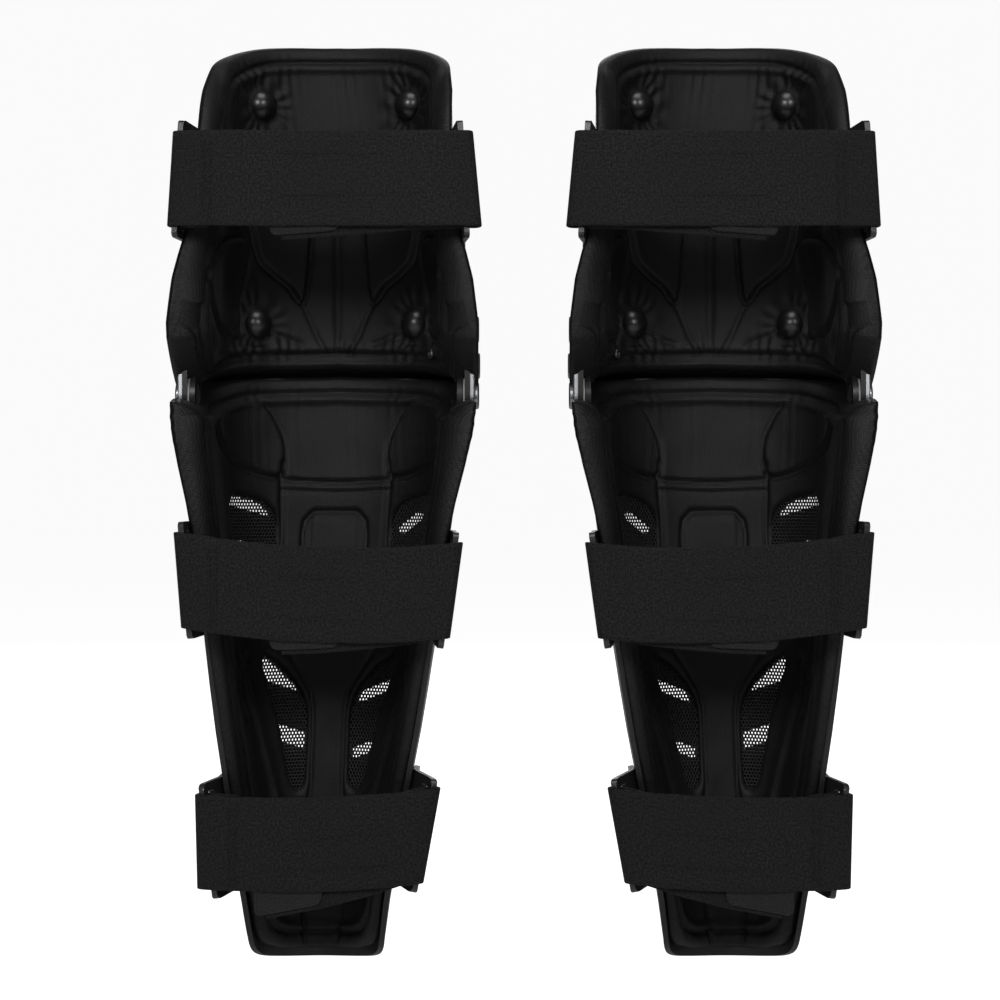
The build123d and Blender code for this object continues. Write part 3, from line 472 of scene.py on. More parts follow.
shinLiner = {
    "grid": (192, 262),
    "foot": [(6, 27.5), (11, 20.5), (18, 14.2), (26, 10.2), (35, 7.4), (44, 6.4)],
    "rear": [(6, 27.5), (-2, 44), (-8.5, 64), (-13.5, 85), (-18.5, 115), (-24.5, 155), (-30, 200), (-34.5, 240),
             (-37.5, 272), (-39, 292), (-38, 305), (-34.5, 313.2)],
    "head": [(-34.5, 313.2), (-24, 315.4), (-8, 317.2), (6, 320.7), (24, 325.6), (42, 329.9), (58, 332.0)],
    "upperWindow": [(33, 259), (57, 266), (51, 230), (31, 226)],
    "lowerWindow": [(11.7, 146), (26.5, 167), (37, 174), (32, 155), (26.5, 137), (23, 120), (19.5, 101),
                    (15.5, 96), (12, 100)],
    "rimSeam": [(-1.9, 9.0, 1.2), (1.7, 13.0, 2.0)],
    "pads": [
        {"outline": [(45, 317), (33, 303), (29, 288), (32, 274), (50, 279), (59, 287), (1, 300, 2), (1, 311, 4)],
         "height": 2.3, "rise": 3.0, "groove": 1.9, "grooveWidth": 1.1},
    ],
    "lines": [
        ([(-29, 272.5), (-14, 271.5), (0, 271.0), (14, 271.5), (29, 272.5)], -2.2, 1.1),  # fold
        ([(-29, 266.5), (0, 265.2), (29, 266.5)], -1.4, 1.0),  # second fold
        ([(30.5, 282), (30, 266), (29, 244), (28.5, 215), (29, 196), (28, 186)], -2.6, 1.6),  # side groove
        ([(17.5, 205), (18, 240), (17, 249), (12, 254.5), (-12, 254.5), (-17, 249), (-18, 240), (-17.5, 205)],
         -2.2, 1.1),  # round the centre pad
        ([(45, 174), (1, 160, 4), (1, 147, 8), (43, 138)], 2.2, 2.4),  # ridge beside the calf
        ([(11.5, 64), (11.0, 40), (10.0, 22), (8.5, 10)], -1.8, 1.6),  # toe groove
        ([(26, 178), (18.5, 166), (10.5, 152), (8.8, 140), (8.6, 100), (9.5, 88)], -1.6, 1.4),  # edge of the spine
        ([(52, 196), (51, 178), (45, 160), (39, 140), (33, 118), (28, 98), (24, 80)], 2.0, 3.2),  # calf ridge
    ],
    "crest": {"height": 1.4, "across": (13, 17), "foot": (205, 215), "head": (248, 254)},
    "pucker": {"rate": 0.9, "sway": 1.8, "swayHeight": 15.0, "groupRate": 0.2, "groupStart": 0.0,
               "where": [(0.22, 318, 9), (0.154, 30, 20), (0.14, 290, 20)]},
    "slack": {"height": 0.2, "rate": 0.19, "sway": 1.5, "swayRate": 0.07, "roundRate": 0.09, "roundStart": 0.4},
}


def windowLoop(points, flip):
    # an outline with every corner cut several times, which rounds it
    loop, share = pathOnForm(points, flip), liner["windowShare"]
    for cut in range(liner["windowCuts"]):
        following = np.roll(loop, -1, axis=0)
        loop = np.stack([loop * (1 - share) + following * share, loop * share + following * (1 - share)], axis=1)
        loop = loop.reshape(-1, 2)
    return loop


windows = [windowLoop(shinLiner[key], flip) for key in ("upperWindow", "lowerWindow") for flip in (1, -1)]
shin = linerSkin("leftShinLiner", shinLiner, windows)

# the net in the liner's windows
net = {"wide": 2.1, "tall": 1.9, "depth": 4.6, "thread": 1.3, "overlap": 1.0, "margin": 3, "weld": 0.1,
       "ring": [(0, 2 / 3), (0.5, 1 / 3), (0.5, -1 / 3), (0, -2 / 3), (-0.5, -1 / 3), (-0.5, 1 / 3)]}


def netPanel(name, loops):
    spots, cells = [], []
    for loop in loops:
        low, high = loop.min(0) - net["margin"], loop.max(0) + net["margin"]
        for row in range(int((high[1] - low[1]) / net["tall"])):
            for column in range(int((high[0] - low[0]) / net["wide"])):
                middle = np.array([low[0] + (column + (row % 2) / 2) * net["wide"], low[1] + row * net["tall"]])
                gap = nearest(middle[None], loop, closed=True)[0][0]
                if gap > net["overlap"] and not within(middle[None], loop)[0]:
                    continue
                cells.append(list(range(len(spots), len(spots) + len(net["ring"]))))
                spots += [middle + [x * net["wide"], y * net["tall"]] for x, y in net["ring"]]
    spots = np.array(spots)
    obj = fromFaces(name, formPoint(spots[:, 0], spots[:, 1], np.full(len(spots), net["depth"])), cells)
    activate(obj)
    editMode()
    bpy.ops.mesh.select_all(action="SELECT")
    bpy.ops.mesh.remove_doubles(threshold=net["weld"] * mm)
    objectMode()
    applyModifier(obj, "WIREFRAME", thickness=net["thread"] * mm, use_even_offset=False, use_boundary=True)
    return smoothed(obj)


windowNet = netPanel("leftWindowNet", windows)
print("window net", len(windowNet.data.polygons), "faces")

# elastic straps
loopShape = {"seat": 0.3, "wall": 3.0, "height": 62.0, "flange": 20.0, "length": 27.0, "bar": 5.5, "clearance": 0.95}
strapShape = {
    "width": 50.0, "thickness": 1.9, "bulge": 6.0, "pitch": 4.2, "shoulder": 22.0, "shoulderShare": 0.35,
    "tail": 14.0, "grid": (300, 18), "bevel": 0.55, "span": 141.0, "sagReach": 75.0, "droopPast": 1.2,
    # each ripple: height, rate along the band, lean across it, start
    "ripples": [(0.25, 0.11, 0.05, 0.0), (0.18, 0.31, 0.0, 1.3)],
    "rippleDeep": 0.3, "rippleTall": 0.35, "rippleFrom": 30.0, "rippleShort": 8,
    "slackEven": 0.6, "slackInner": (48, 66), "slackOuter": (38, 54),
}
# loop heights on the outer and inner side, where the flanges start, the loops' bends, where the returned layer
# ends, how far the middle sags and the returned end droops, and how far each wrap stands off its loop's bar
straps = {
    "upper": {"outer": 430.0, "inner": 430.0, "flangeY": -2.0, "bends": (8.0, 8.0), "end": -20.0, "sag": 1.0,
              "droop": 7.0, "slack": (0.0, 4.0), "body": "thigh", "nodes": ["upper_strap"],
              "patches": ["upper_strap_patch"]},
    "middle": {"outer": 219.0, "inner": 214.0, "flangeY": -2.0, "bends": (4.0, 7.0), "end": -20.0, "sag": 5.0,
               "droop": 7.5, "slack": (0.0, 0.0), "body": "shin", "nodes": ["middle_strap"],
               "patches": ["shin_strap_patches"]},
    "lower": {"outer": 80.0, "inner": 84.0, "flangeY": 10.0, "bends": (15.0, 26.0), "end": -30.0, "sag": 3.0,
              "droop": 15.0, "slack": (5.0, 0.0), "body": "shin", "nodes": ["lower_strap"], "patches": []},
}


def wallAt(side, z):
    return float(centreAt(z)) + side * (float(formSize(z)[0]) + leg["shellOuter"])


def loopCorners(strap, side, up):
    z = strap["outer"] if side < 0 else strap["inner"]
    bend = math.radians(strap["bends"][0 if side < 0 else 1])
    half = loopShape["height"] / 2
    high, low = wallAt(side, z + half), wallAt(side, z - half)
    chord = max(side * (high + low) / 2, side * wallAt(side, z))
    reach = loopShape["length"] - loopShape["bar"] / 2
    x = side * (chord + loopShape["seat"] + loopShape["wall"] / 2 + reach * math.sin(bend))
    x += (high - low) / loopShape["height"] * up
    y = strap["flangeY"] - loopShape["flange"] - reach * math.cos(bend)
    along = np.array([side * math.sin(bend), -math.cos(bend)])
    out = np.array([side * math.cos(bend), math.sin(bend)])
    gap = loopShape["clearance"] + strapShape["thickness"] / 2
    end, face = loopShape["bar"] / 2 + gap, loopShape["wall"] / 2 + gap
    return [np.array([x, y]) + c for c in (along * end - out * face, along * end + out * face,
                                           -along * end + out * face, -along * end - out * face)]


def rearPoints(strap, up):
    left, right = loopCorners(strap, -1, up), loopCorners(strap, 1, up)
    back = (left[0][1] + right[0][1]) / 2 - strapShape["bulge"]
    middle = (left[0][0] + right[0][0]) / 2
    share = strapShape["shoulderShare"]
    return [np.array([left[0][0] + strapShape["shoulder"], back + (left[0][1] - back) * share]),
            np.array([middle, back]),
            np.array([right[0][0] - strapShape["shoulder"], back + (right[0][1] - back) * share])]


def layerPoint(strap, up, x, pitch):
    left, middle, right = rearPoints(strap, up)
    end = left if x < middle[0] else right
    return np.array([x, middle[1] + pitch + (end[1] - middle[1]) * (x - middle[0]) / (end[0] - middle[0])])


def roundedRun(points, count, cuts=3):
    run = np.array(points)
    for cut in range(cuts):
        inner = np.stack([run[:-1] * 0.75 + run[1:] * 0.25, run[:-1] * 0.25 + run[1:] * 0.75], axis=1).reshape(-1, 2)
        run = np.vstack([run[:1], inner[1:-1], run[-1:]])
    along = np.concatenate([[0], np.cumsum(np.hypot(*np.diff(run, axis=0).T))])
    at = np.linspace(0, 1, count) * along[-1]
    return np.stack([np.interp(at, along, run[:, 0]), np.interp(at, along, run[:, 1])], axis=1), at


def strapRun(strap, up, count):
    left, right = loopCorners(strap, -1, up), loopCorners(strap, 1, up)
    rear = rearPoints(strap, up)
    inward = np.array([0.0, strapShape["pitch"]])
    way = rear[0] + inward - left[3]
    tail = left[3] + way * (strapShape["tail"] / way[0])
    turned = [rear[2] + inward, rear[1] + inward, layerPoint(strap, up, strap["end"], strapShape["pitch"])]
    return roundedRun([tail] + left[::-1] + rear + right + turned, count)


def levelAt(strap, x):
    slope = (strap["inner"] - strap["outer"]) / strapShape["span"]
    reach = np.clip(np.abs(x) / strapShape["sagReach"], 0, 1)
    return (strap["outer"] + strap["inner"]) / 2 + slope * x - strap["sag"] * (1 - reach ** 2)


def droopAt(strap, x):
    # the returned layer hangs lower towards its free end
    right = loopCorners(strap, 1, 0)[3][0]
    return strap["droop"] * np.clip((right - x) / (right - strap["end"]), 0, strapShape["droopPast"])


def makeStrap(name, strap):
    columns, rows = strapShape["grid"]
    obj = addGrid(name, columns, rows)
    unit = (meshPoints(obj)[:, :2] + 1) / 2
    step = np.rint(unit[:, 0] * columns).astype(int)
    ups = np.rint(unit[:, 1] * rows).astype(int)
    points = np.zeros((len(unit), 3))
    uv = np.zeros((len(unit), 2))
    half = strapShape["width"] / 2
    even, ease = strapShape["slackEven"], strap["slack"]
    for row in range(rows + 1):
        up = (row / rows * 2 - 1) * half
        run, along = strapRun(strap, up, columns + 1)
        turn = int(np.argmax(run[:, 0]))
        level = levelAt(strap, run[:, 0])
        level[turn:] -= droopAt(strap, run[turn:, 0])
        ripple = sum(height * np.sin(along * rate + up * lean + start)
                     for height, rate, lean, start in strapShape["ripples"])
        outer = (along > strapShape["rippleFrom"]) & (np.arange(columns + 1) < turn - strapShape["rippleShort"])
        low = np.clip(0.5 - up / half * 0.5, 0, 1)  # the wraps stand off most at their lower edge
        run[:, 0] += (ease[1] * (even + (1 - even) * low) * easeTo(run[:, 0], *strapShape["slackInner"])
                      - ease[0] * low * easeTo(-run[:, 0], *strapShape["slackOuter"]))
        deep = run[:, 1] - np.where(outer, strapShape["rippleDeep"] * ripple, 0.0)
        tall = level + up + strapShape["rippleTall"] * ripple * (up / half)
        chosen = ups == row
        points[chosen] = np.stack([run[:, 0] - leg["offset"], deep, tall], axis=1)[step[chosen]]
        uv[chosen] = np.stack([along, np.full_like(along, up)], axis=1)[step[chosen]]
    setMeshPoints(obj, points * mm)
    setUv(obj, uv * mm)
    applyModifier(obj, "SOLIDIFY", thickness=strapShape["thickness"] * mm, offset=0.0, use_even_offset=False)
    bevelEdges(obj, strapShape["bevel"])
    faceOutwards(obj)
    return smoothed(obj)


hookTape = {"length": 36.0, "overhang": 6.0, "thickness": 1.6, "height": 45.0, "corner": 4.0, "grid": (24, 28),
            "gap": 0.05, "bevel": 0.4}


def makeHookTape(name, strap):
    columns, rows = hookTape["grid"]
    obj = addGrid(name, columns, rows)
    unit = meshPoints(obj)[:, :2]
    half = np.array([hookTape["length"], hookTape["height"]]) / 2
    flat = unit * half
    # round the four corners in plan
    over = np.maximum(np.abs(flat) - (half - hookTape["corner"]), 0)
    long = np.hypot(*over.T)
    shrink = np.where(long > 1e-6, np.maximum(over.max(1), 1e-6) / np.maximum(long, 1e-6), 1.0)
    flat = np.sign(flat) * (np.minimum(np.abs(flat), half - hookTape["corner"]) + over * shrink[:, None])
    x = strap["end"] - hookTape["overhang"] + half[0] + flat[:, 0]
    pitch = strapShape["pitch"] - (strapShape["thickness"] + hookTape["thickness"]) / 2 - hookTape["gap"]
    y = np.array([layerPoint(strap, 0, place, pitch)[1] for place in x])
    z = levelAt(strap, x) - droopAt(strap, x) + flat[:, 1]
    setMeshPoints(obj, np.stack([x - leg["offset"], y, z], axis=1) * mm)
    setUv(obj, flat * mm)
    applyModifier(obj, "SOLIDIFY", thickness=hookTape["thickness"] * mm, offset=0.0, use_even_offset=False)
    bevelEdges(obj, hookTape["bevel"])
    faceOutwards(obj)
    return obj


# the insets are a width and a depth each
stud = {"x": 55.0, "z": 343.5, "radius": 2.7, "height": 1.3, "lift": 8.6, "bevel": 0.22, "sharp": 40, "smooth": 35,
        "insets": [(0.55, 0.0), (0.5, -0.5), (0.3, 0.45)], "edges": 32}


def makeHemStud(name):
    # a small ribbed press stud through the hem, on the inner side of the knee
    deselectAll()
    bpy.ops.mesh.primitive_cylinder_add(vertices=stud["edges"], radius=stud["radius"] * mm,
                                        depth=stud["height"] * mm)
    obj = bpy.context.object
    obj.name = obj.data.name = name
    editMode()
    bpy.ops.mesh.select_all(action="DESELECT")
    bpy.ops.mesh.select_mode(type="FACE")
    objectMode()
    for face in obj.data.polygons:
        face.select = face.normal.z > 0.9
    editMode()
    for width, depth in stud["insets"]:
        bpy.ops.mesh.inset(thickness=width * mm, depth=depth * mm)
    objectMode()
    bevelEdges(obj, stud["bevel"], stud["sharp"])
    around, z = onForm((stud["x"], stud["z"]))
    base, above = formPoint(np.full(2, around), np.full(2, z), stud["lift"] + np.arange(2.0))
    out = (above - base) / np.linalg.norm(above - base)
    tilt = np.array([0.0, 0.0, 1.0]) - out * out[2]
    tilt /= np.linalg.norm(tilt)
    turn = np.stack([np.cross(tilt, out), tilt, out], axis=1)
    setMeshPoints(obj, meshPoints(obj) @ turn.T + base)
    faceOutwards(obj)
    activate(obj)
    bpy.ops.object.shade_smooth_by_angle(angle=math.radians(stud["smooth"]))
    return obj


hemStud = makeHemStud("leftHemStud")

stitch = {"long": 2.6, "pitch": 3.7, "radius": 0.3, "lift": 0.12, "start": 0.25, "taper": 0.5, "segments": 8,
          "rings": 6}


def makeStitches(name, strap, rows):
    # rows of thread on the strap's rear face: each row is two ends (x, up)
    deselectAll()
    bpy.ops.mesh.primitive_uv_sphere_add(segments=stitch["segments"], ring_count=stitch["rings"], radius=1.0)
    bead = bpy.context.object
    shape = meshPoints(bead)
    faces = [list(p.vertices) for p in bead.data.polygons]
    bpy.data.objects.remove(bead)
    points, skins = [], []
    for (x0, up0), (x1, up1) in rows:
        length = math.hypot(x1 - x0, up1 - up0)
        count = int(length / stitch["pitch"])
        for k in range(count + 1):
            t = (k + stitch["start"]) / (count + 1)
            x, up = x0 + t * (x1 - x0), up0 + t * (up1 - up0)
            run = np.array([(x1 - x0) / length, (up1 - up0) / length])
            y = layerPoint(strap, up, x, 0)[1] - strapShape["thickness"] / 2 - stitch["lift"]
            z = float(levelAt(strap, x)) + up
            along = shape[:, 0] * stitch["long"] / 2
            across = shape[:, 2] * stitch["radius"]
            deep = shape[:, 1] * stitch["radius"] * (1 - stitch["taper"] * np.abs(shape[:, 0]))
            skins += [[i + len(points) * len(shape) for i in face] for face in faces]
            points.append(np.stack([x - leg["offset"] + run[0] * along - run[1] * across, y + deep,
                                    z + run[1] * along + run[0] * across], axis=1))
    obj = fromFaces(name, np.vstack(points) * mm, skins)
    faceOutwards(obj)
    return smoothed(obj)


stitchRows = {
    "upper": [((-57, -21), (-57, 21)), ((-60.5, -21), (-60.5, 21)), ((-20, -9), (36, -9)), ((-20, 13), (36, 13))],
    "middle": [((-54, -21), (-54, 21)), ((-57.5, -21), (-57.5, 21)), ((-30, 9), (30, 9)), ((-30, -13), (30, -13))],
    "lower": [((-46, -21), (-46, 21)), ((-49.5, -21), (-49.5, 21)), ((-32, 4), (38, 4)), ((-32, -13), (38, -13))],
}
strapPieces = {}
for level, strap in straps.items():
    strapPieces[level] = (makeStrap(f"left{level.title()}Strap", strap),
                          makeHookTape(f"left{level.title()}HookTape", strap),
                          makeStitches(f"left{level.title()}Stitches", strap, stitchRows[level]))
print("straps done")


# finishes
def newGroup(name, inputs, outputs):
    group = bpy.data.node_groups.new(name, "ShaderNodeTree")
    group.interface.new_socket(name="Vector", in_out="INPUT", socket_type="NodeSocketVector")
    for label, value in inputs.items():
        socket = group.interface.new_socket(name=label, in_out="INPUT", socket_type="NodeSocketFloat")
        socket.default_value = value
    for label in outputs:
        group.interface.new_socket(name=label, in_out="OUTPUT", socket_type="NodeSocketFloat")
    return group, group.nodes.new("NodeGroupInput"), group.nodes.new("NodeGroupOutput")


def feed(tree, value, socket):
    # a value, or another node's output
    if isinstance(value, bpy.types.NodeSocket):
        tree.links.new(value, socket)
    else:
        socket.default_value = value


def addNode(tree, kind, **inputs):
    node = tree.nodes.new("ShaderNode" + kind)
    for label, value in inputs.items():
        feed(tree, value, node.inputs[label.replace("_", " ")])
    return node


def mathNode(tree, operation, *values):
    node = addNode(tree, "Math")
    node.operation = operation
    for value, socket in zip(values, node.inputs):
        feed(tree, value, socket)
    return node.outputs[0]


# the last two set the painted shade in the rib grooves and the base of the painted light on single tufts
weaveShape = {"fuzzDetail": 3.0, "ribPower": 0.6, "rowDepth": 0.6, "paintedShadeDepth": 0.6, "tuftLightBase": 0.6}
patinaShape = {"cloudDetail": 4.0, "scuffDetail": 6.0, "scuffRough": 0.7, "stretch": (1.0, 0.35, 2.2),
               "turn": (0.4, 0.9, 0.3), "scuffFrom": 0.6, "scuffGain": 9.0}


def buildWeave():
    # ribs of a woven or knitted cloth, from its own cloth coordinates in metres; besides the bump height it gives a
    # Shade, which is painted shade in the rib grooves and painted light and shade on single tufts
    group, start, end = newGroup(
        "clothWeave", {"Rib Pitch": 0.001, "Row Pitch": 0.0008, "Skew": 0.6, "Fuzz": 0.3, "Tuft Scale": 800.0,
                       "Tuft Depth": 5.0}, ["Height", "Shade"])
    split = addNode(group, "SeparateXYZ", Vector=start.outputs["Vector"])
    across = mathNode(group, "DIVIDE", split.outputs[0], start.outputs["Rib Pitch"])
    along = mathNode(group, "DIVIDE", split.outputs[1], start.outputs["Row Pitch"])
    rib = mathNode(group, "ABSOLUTE", mathNode(group, "SINE", mathNode(group, "MULTIPLY", across, math.pi)))
    leaning = mathNode(group, "MULTIPLY_ADD", rib, start.outputs["Skew"], along)
    row = mathNode(group, "SINE", mathNode(group, "MULTIPLY", leaning, 2 * math.pi))
    row = mathNode(group, "MULTIPLY_ADD", row, 0.5, 0.5)
    fuzz = addNode(group, "TexNoise", Vector=start.outputs["Vector"], Scale=start.outputs["Tuft Scale"],
                   Detail=weaveShape["fuzzDetail"])
    rows = mathNode(group, "MULTIPLY_ADD", row, weaveShape["rowDepth"], 1 - weaveShape["rowDepth"])
    woven = mathNode(group, "MULTIPLY", mathNode(group, "POWER", rib, weaveShape["ribPower"]), rows)
    height = mathNode(group, "MULTIPLY_ADD", fuzz.outputs["Fac"], start.outputs["Fuzz"], woven)
    group.links.new(height, end.inputs["Height"])
    paintedTuftLight = mathNode(group, "SUBTRACT", fuzz.outputs["Fac"], 0.5)  # painted light and shade: single tufts are painted lighter or darker, as if they catch or lose the light
    paintedTuftLight = mathNode(group, "MULTIPLY_ADD", paintedTuftLight, start.outputs["Tuft Depth"], weaveShape["tuftLightBase"])
    # painted shade: the colour is darker in the rib grooves, where the bump would shade them
    paintedShadeAndTone = mathNode(group, "MULTIPLY_ADD", woven, weaveShape["paintedShadeDepth"], 1 - weaveShape["paintedShadeDepth"])
    paintedShadeAndTone = mathNode(group, "MULTIPLY", paintedShadeAndTone, paintedTuftLight)
    group.links.new(mathNode(group, "MAXIMUM", paintedShadeAndTone, 0.0), end.inputs["Shade"])
    return group


def buildPatina():
    # broad cloudy change of shade, and fine scuffs
    group, start, end = newGroup("patina", {"Cloud Scale": 18.0, "Scuff Scale": 160.0}, ["Cloud", "Scuffs"])
    cloud = addNode(group, "TexNoise", Vector=start.outputs["Vector"], Scale=start.outputs["Cloud Scale"],
                    Detail=patinaShape["cloudDetail"])
    stretch = addNode(group, "Mapping", Vector=start.outputs["Vector"], Scale=patinaShape["stretch"],
                      Rotation=patinaShape["turn"])
    scuff = addNode(group, "TexNoise", Vector=stretch.outputs[0], Scale=start.outputs["Scuff Scale"],
                    Detail=patinaShape["scuffDetail"], Roughness=patinaShape["scuffRough"])
    group.links.new(cloud.outputs["Fac"], end.inputs["Cloud"])
    sharp = mathNode(group, "SUBTRACT", scuff.outputs["Fac"], patinaShape["scuffFrom"])
    sharp = mathNode(group, "MAXIMUM", mathNode(group, "MULTIPLY", sharp, patinaShape["scuffGain"]), 0.0)
    group.links.new(mathNode(group, "MINIMUM", sharp, 1.0), end.inputs["Scuffs"])
    return group


weave, patina = buildWeave(), buildPatina()


def newMaterial(name, **sockets):
    material = bpy.data.materials.new(name)
    material.use_nodes = True
    shader = material.node_tree.nodes["Principled BSDF"]
    for label, value in sockets.items():
        shader.inputs[label.replace("_", " ")].default_value = value
    return material, material.node_tree, shader


def placeGroup(tree, group, vector, **values):
    node = tree.nodes.new("ShaderNodeGroup")
    node.node_tree = group
    tree.links.new(vector, node.inputs["Vector"])
    for label, value in values.items():
        node.inputs[label.replace("_", " ")].default_value = value
    return node


def mixColours(tree, mask, dark, light):
    node = tree.nodes.new("ShaderNodeMix")
    node.data_type = "RGBA"
    tree.links.new(mask, node.inputs["Factor"])
    node.inputs["A"].default_value = (*dark, 1.0)
    node.inputs["B"].default_value = (*light, 1.0)
    return node.outputs["Result"]


def bumpNode(tree, shader, height, distance):
    node = addNode(tree, "Bump", Height=height, Distance=distance, Strength=1.0)
    tree.links.new(node.outputs[0], shader.inputs["Normal"])


# what the looks of one kind have in common; the shares are of the cloudy change and of the scuffs
clothCommon = {"scuff": 120.0, "cloudDepth": 0.8, "cloudBase": 0.5, "dark": (0.003, 0.003, 0.003),
               "light": (0.014, 0.014, 0.015), "roughChange": 0.14}
plasticCommon = {"coat": 0.0, "coatRough": 0.12, "metal": 0.0, "specular": 0.5, "roughChange": 0.14,
                 "scuffRough": 0.12, "grainDetail": 2.0}


def clothMaterial(name, own):
    look = {**clothCommon, **own}
    material, tree, shader = newMaterial(name, Sheen_Weight=look["sheen"], Sheen_Roughness=look["sheenRough"],
                                         Specular_IOR_Level=look["specular"])
    uv = addNode(tree, "UVMap")
    uv.uv_map = uvName
    place = addNode(tree, "TexCoord")
    cloth = placeGroup(tree, weave, uv.outputs["UV"], Rib_Pitch=look["rib"], Row_Pitch=look["row"],
                       # the tuft depth sets how strongly single tufts are painted lighter or darker
                       Skew=look["skew"], Fuzz=look["fuzz"], Tuft_Scale=look["tuftScale"],
                       Tuft_Depth=look["tuftLightDepth"])
    age = placeGroup(tree, patina, place.outputs["Object"], Cloud_Scale=look["cloud"], Scuff_Scale=look["scuff"])
    cloudy = mathNode(tree, "MULTIPLY_ADD", age.outputs["Cloud"], look["cloudDepth"], look["cloudBase"])
    # the weave's painted shade of grooves and tufts, times the broad cloudy change of tone
    paintedShadeAndTone = mathNode(tree, "MULTIPLY", cloth.outputs["Shade"], cloudy)
    tree.links.new(mixColours(tree, paintedShadeAndTone, look["dark"], look["light"]), shader.inputs["Base Color"])
    rough = mathNode(tree, "MULTIPLY_ADD", age.outputs["Cloud"], look["roughChange"], look["rough"])
    tree.links.new(rough, shader.inputs["Roughness"])
    bumpNode(tree, shader, cloth.outputs["Height"], look["bump"])
    return material


def plasticMaterial(name, own):
    look = {**plasticCommon, **own}
    material, tree, shader = newMaterial(name, Specular_IOR_Level=look["specular"], Coat_Roughness=look["coatRough"],
                                         Coat_Weight=look["coat"], Metallic=look["metal"])
    place = addNode(tree, "TexCoord")
    age = placeGroup(tree, patina, place.outputs["Object"], Cloud_Scale=look["cloud"], Scuff_Scale=look["scuff"])
    worn = mathNode(tree, "MULTIPLY", age.outputs["Scuffs"], look["wear"])
    tree.links.new(mixColours(tree, worn, look["dark"], look["light"]), shader.inputs["Base Color"])
    rough = mathNode(tree, "MULTIPLY_ADD", age.outputs["Cloud"], look["roughChange"], look["rough"])
    rough = mathNode(tree, "MULTIPLY_ADD", age.outputs["Scuffs"], look["scuffRough"] * look["wear"], rough)
    tree.links.new(rough, shader.inputs["Roughness"])
    grain = addNode(tree, "TexNoise", Vector=place.outputs["Object"], Scale=look["grain"],
                    Detail=look["grainDetail"])
    bumpNode(tree, shader, grain.outputs["Fac"], look["bump"])
    return material


clothLooks = {
    "linerCloth": {"rib": 0.0011, "row": 0.0009, "skew": 0.7, "fuzz": 0.25, "tuftScale": 1000.0, "tuftLightDepth": 3.2,
        "bump": 0.00012, "dark": (0.003, 0.003, 0.0035), "rough": 0.38, "sheen": 0.03,
        "sheenRough": 0.35, "specular": 0.24, "cloud": 14.0},
    "elasticWeb": {"rib": 0.0012, "row": 0.0007, "skew": 0.25, "fuzz": 0.8, "tuftScale": 820.0, "tuftLightDepth": 4.2,
        "bump": 0.00018, "dark": (0.003, 0.003, 0.0033), "light": (0.020, 0.020, 0.0213), "rough": 0.72,
        "sheen": 0.04, "sheenRough": 0.45, "specular": 0.22, "cloud": 26.0},
    "hookFace": {"rib": 0.0014, "row": 0.0014, "skew": 0.0, "fuzz": 1.2, "tuftScale": 900.0, "tuftLightDepth": 3.5,
        "bump": 0.0003, "rough": 0.6, "roughChange": 0.2, "sheen": 0.05, "sheenRough": 0.4,
        "specular": 0.4, "cloud": 30.0},
}
plasticLooks = {
    "shellPlastic": {"dark": (0.010, 0.010, 0.011), "light": (0.035, 0.035, 0.038), "rough": 0.30, "wear": 0.5,
        "grain": 1800.0, "bump": 0.00005, "cloud": 16.0, "scuff": 90.0},
    "platePlastic": {"dark": (0.016, 0.016, 0.017), "light": (0.05, 0.05, 0.052), "rough": 0.42, "wear": 0.6,
        "grain": 900.0, "bump": 0.0001, "cloud": 20.0, "scuff": 110.0},
    "loopPlastic": {"dark": (0.018, 0.018, 0.02), "light": (0.07, 0.07, 0.075), "rough": 0.26, "roughChange": 0.12,
        "wear": 0.5, "coat": 0.15, "specular": 0.6, "grain": 1500.0, "bump": 0.00004, "cloud": 30.0,
        "scuff": 140.0},
    "domeGloss": {"dark": (0.006, 0.006, 0.007), "light": (0.02, 0.02, 0.022), "rough": 0.30, "roughChange": 0.10,
        "wear": 0.35, "coat": 0.15, "specular": 0.6, "grain": 500.0, "bump": 0.00001, "cloud": 60.0,
        "scuff": 200.0},
    "armMetal": {"dark": (0.55, 0.56, 0.58), "light": (0.75, 0.76, 0.78), "rough": 0.30, "roughChange": 0.16,
        "wear": 0.6, "metal": 1.0, "grain": 1600.0, "bump": 0.00003, "cloud": 40.0, "scuff": 180.0},
    "rivetSteel": {"dark": (0.42, 0.42, 0.44), "light": (0.62, 0.62, 0.64), "rough": 0.28, "wear": 0.7,
        "metal": 1.0, "grain": 1500.0, "bump": 0.00003, "cloud": 90.0, "scuff": 260.0},
    "washerNylon": {"dark": (0.45, 0.45, 0.43), "light": (0.6, 0.6, 0.57), "rough": 0.5, "roughChange": 0.1,
        "wear": 0.4, "grain": 1200.0, "bump": 0.00004, "cloud": 60.0, "scuff": 200.0},
    "netThread": {"dark": (0.008, 0.008, 0.009), "light": (0.03, 0.03, 0.032), "rough": 0.5, "roughChange": 0.15,
        "wear": 0.3, "specular": 0.4, "grain": 3000.0, "bump": 0.00005, "cloud": 60.0, "scuff": 260.0},
    "stitchThread": {"dark": (0.0008, 0.0008, 0.0009), "light": (0.004, 0.004, 0.004), "rough": 0.8,
        "roughChange": 0.15, "wear": 0.6, "grain": 4000.0, "bump": 0.0001, "cloud": 90.0,
        "scuff": 400.0},
}
finishes = {name: clothMaterial(name, look) for name, look in clothLooks.items()}
finishes.update({name: plasticMaterial(name, look) for name, look in plasticLooks.items()})
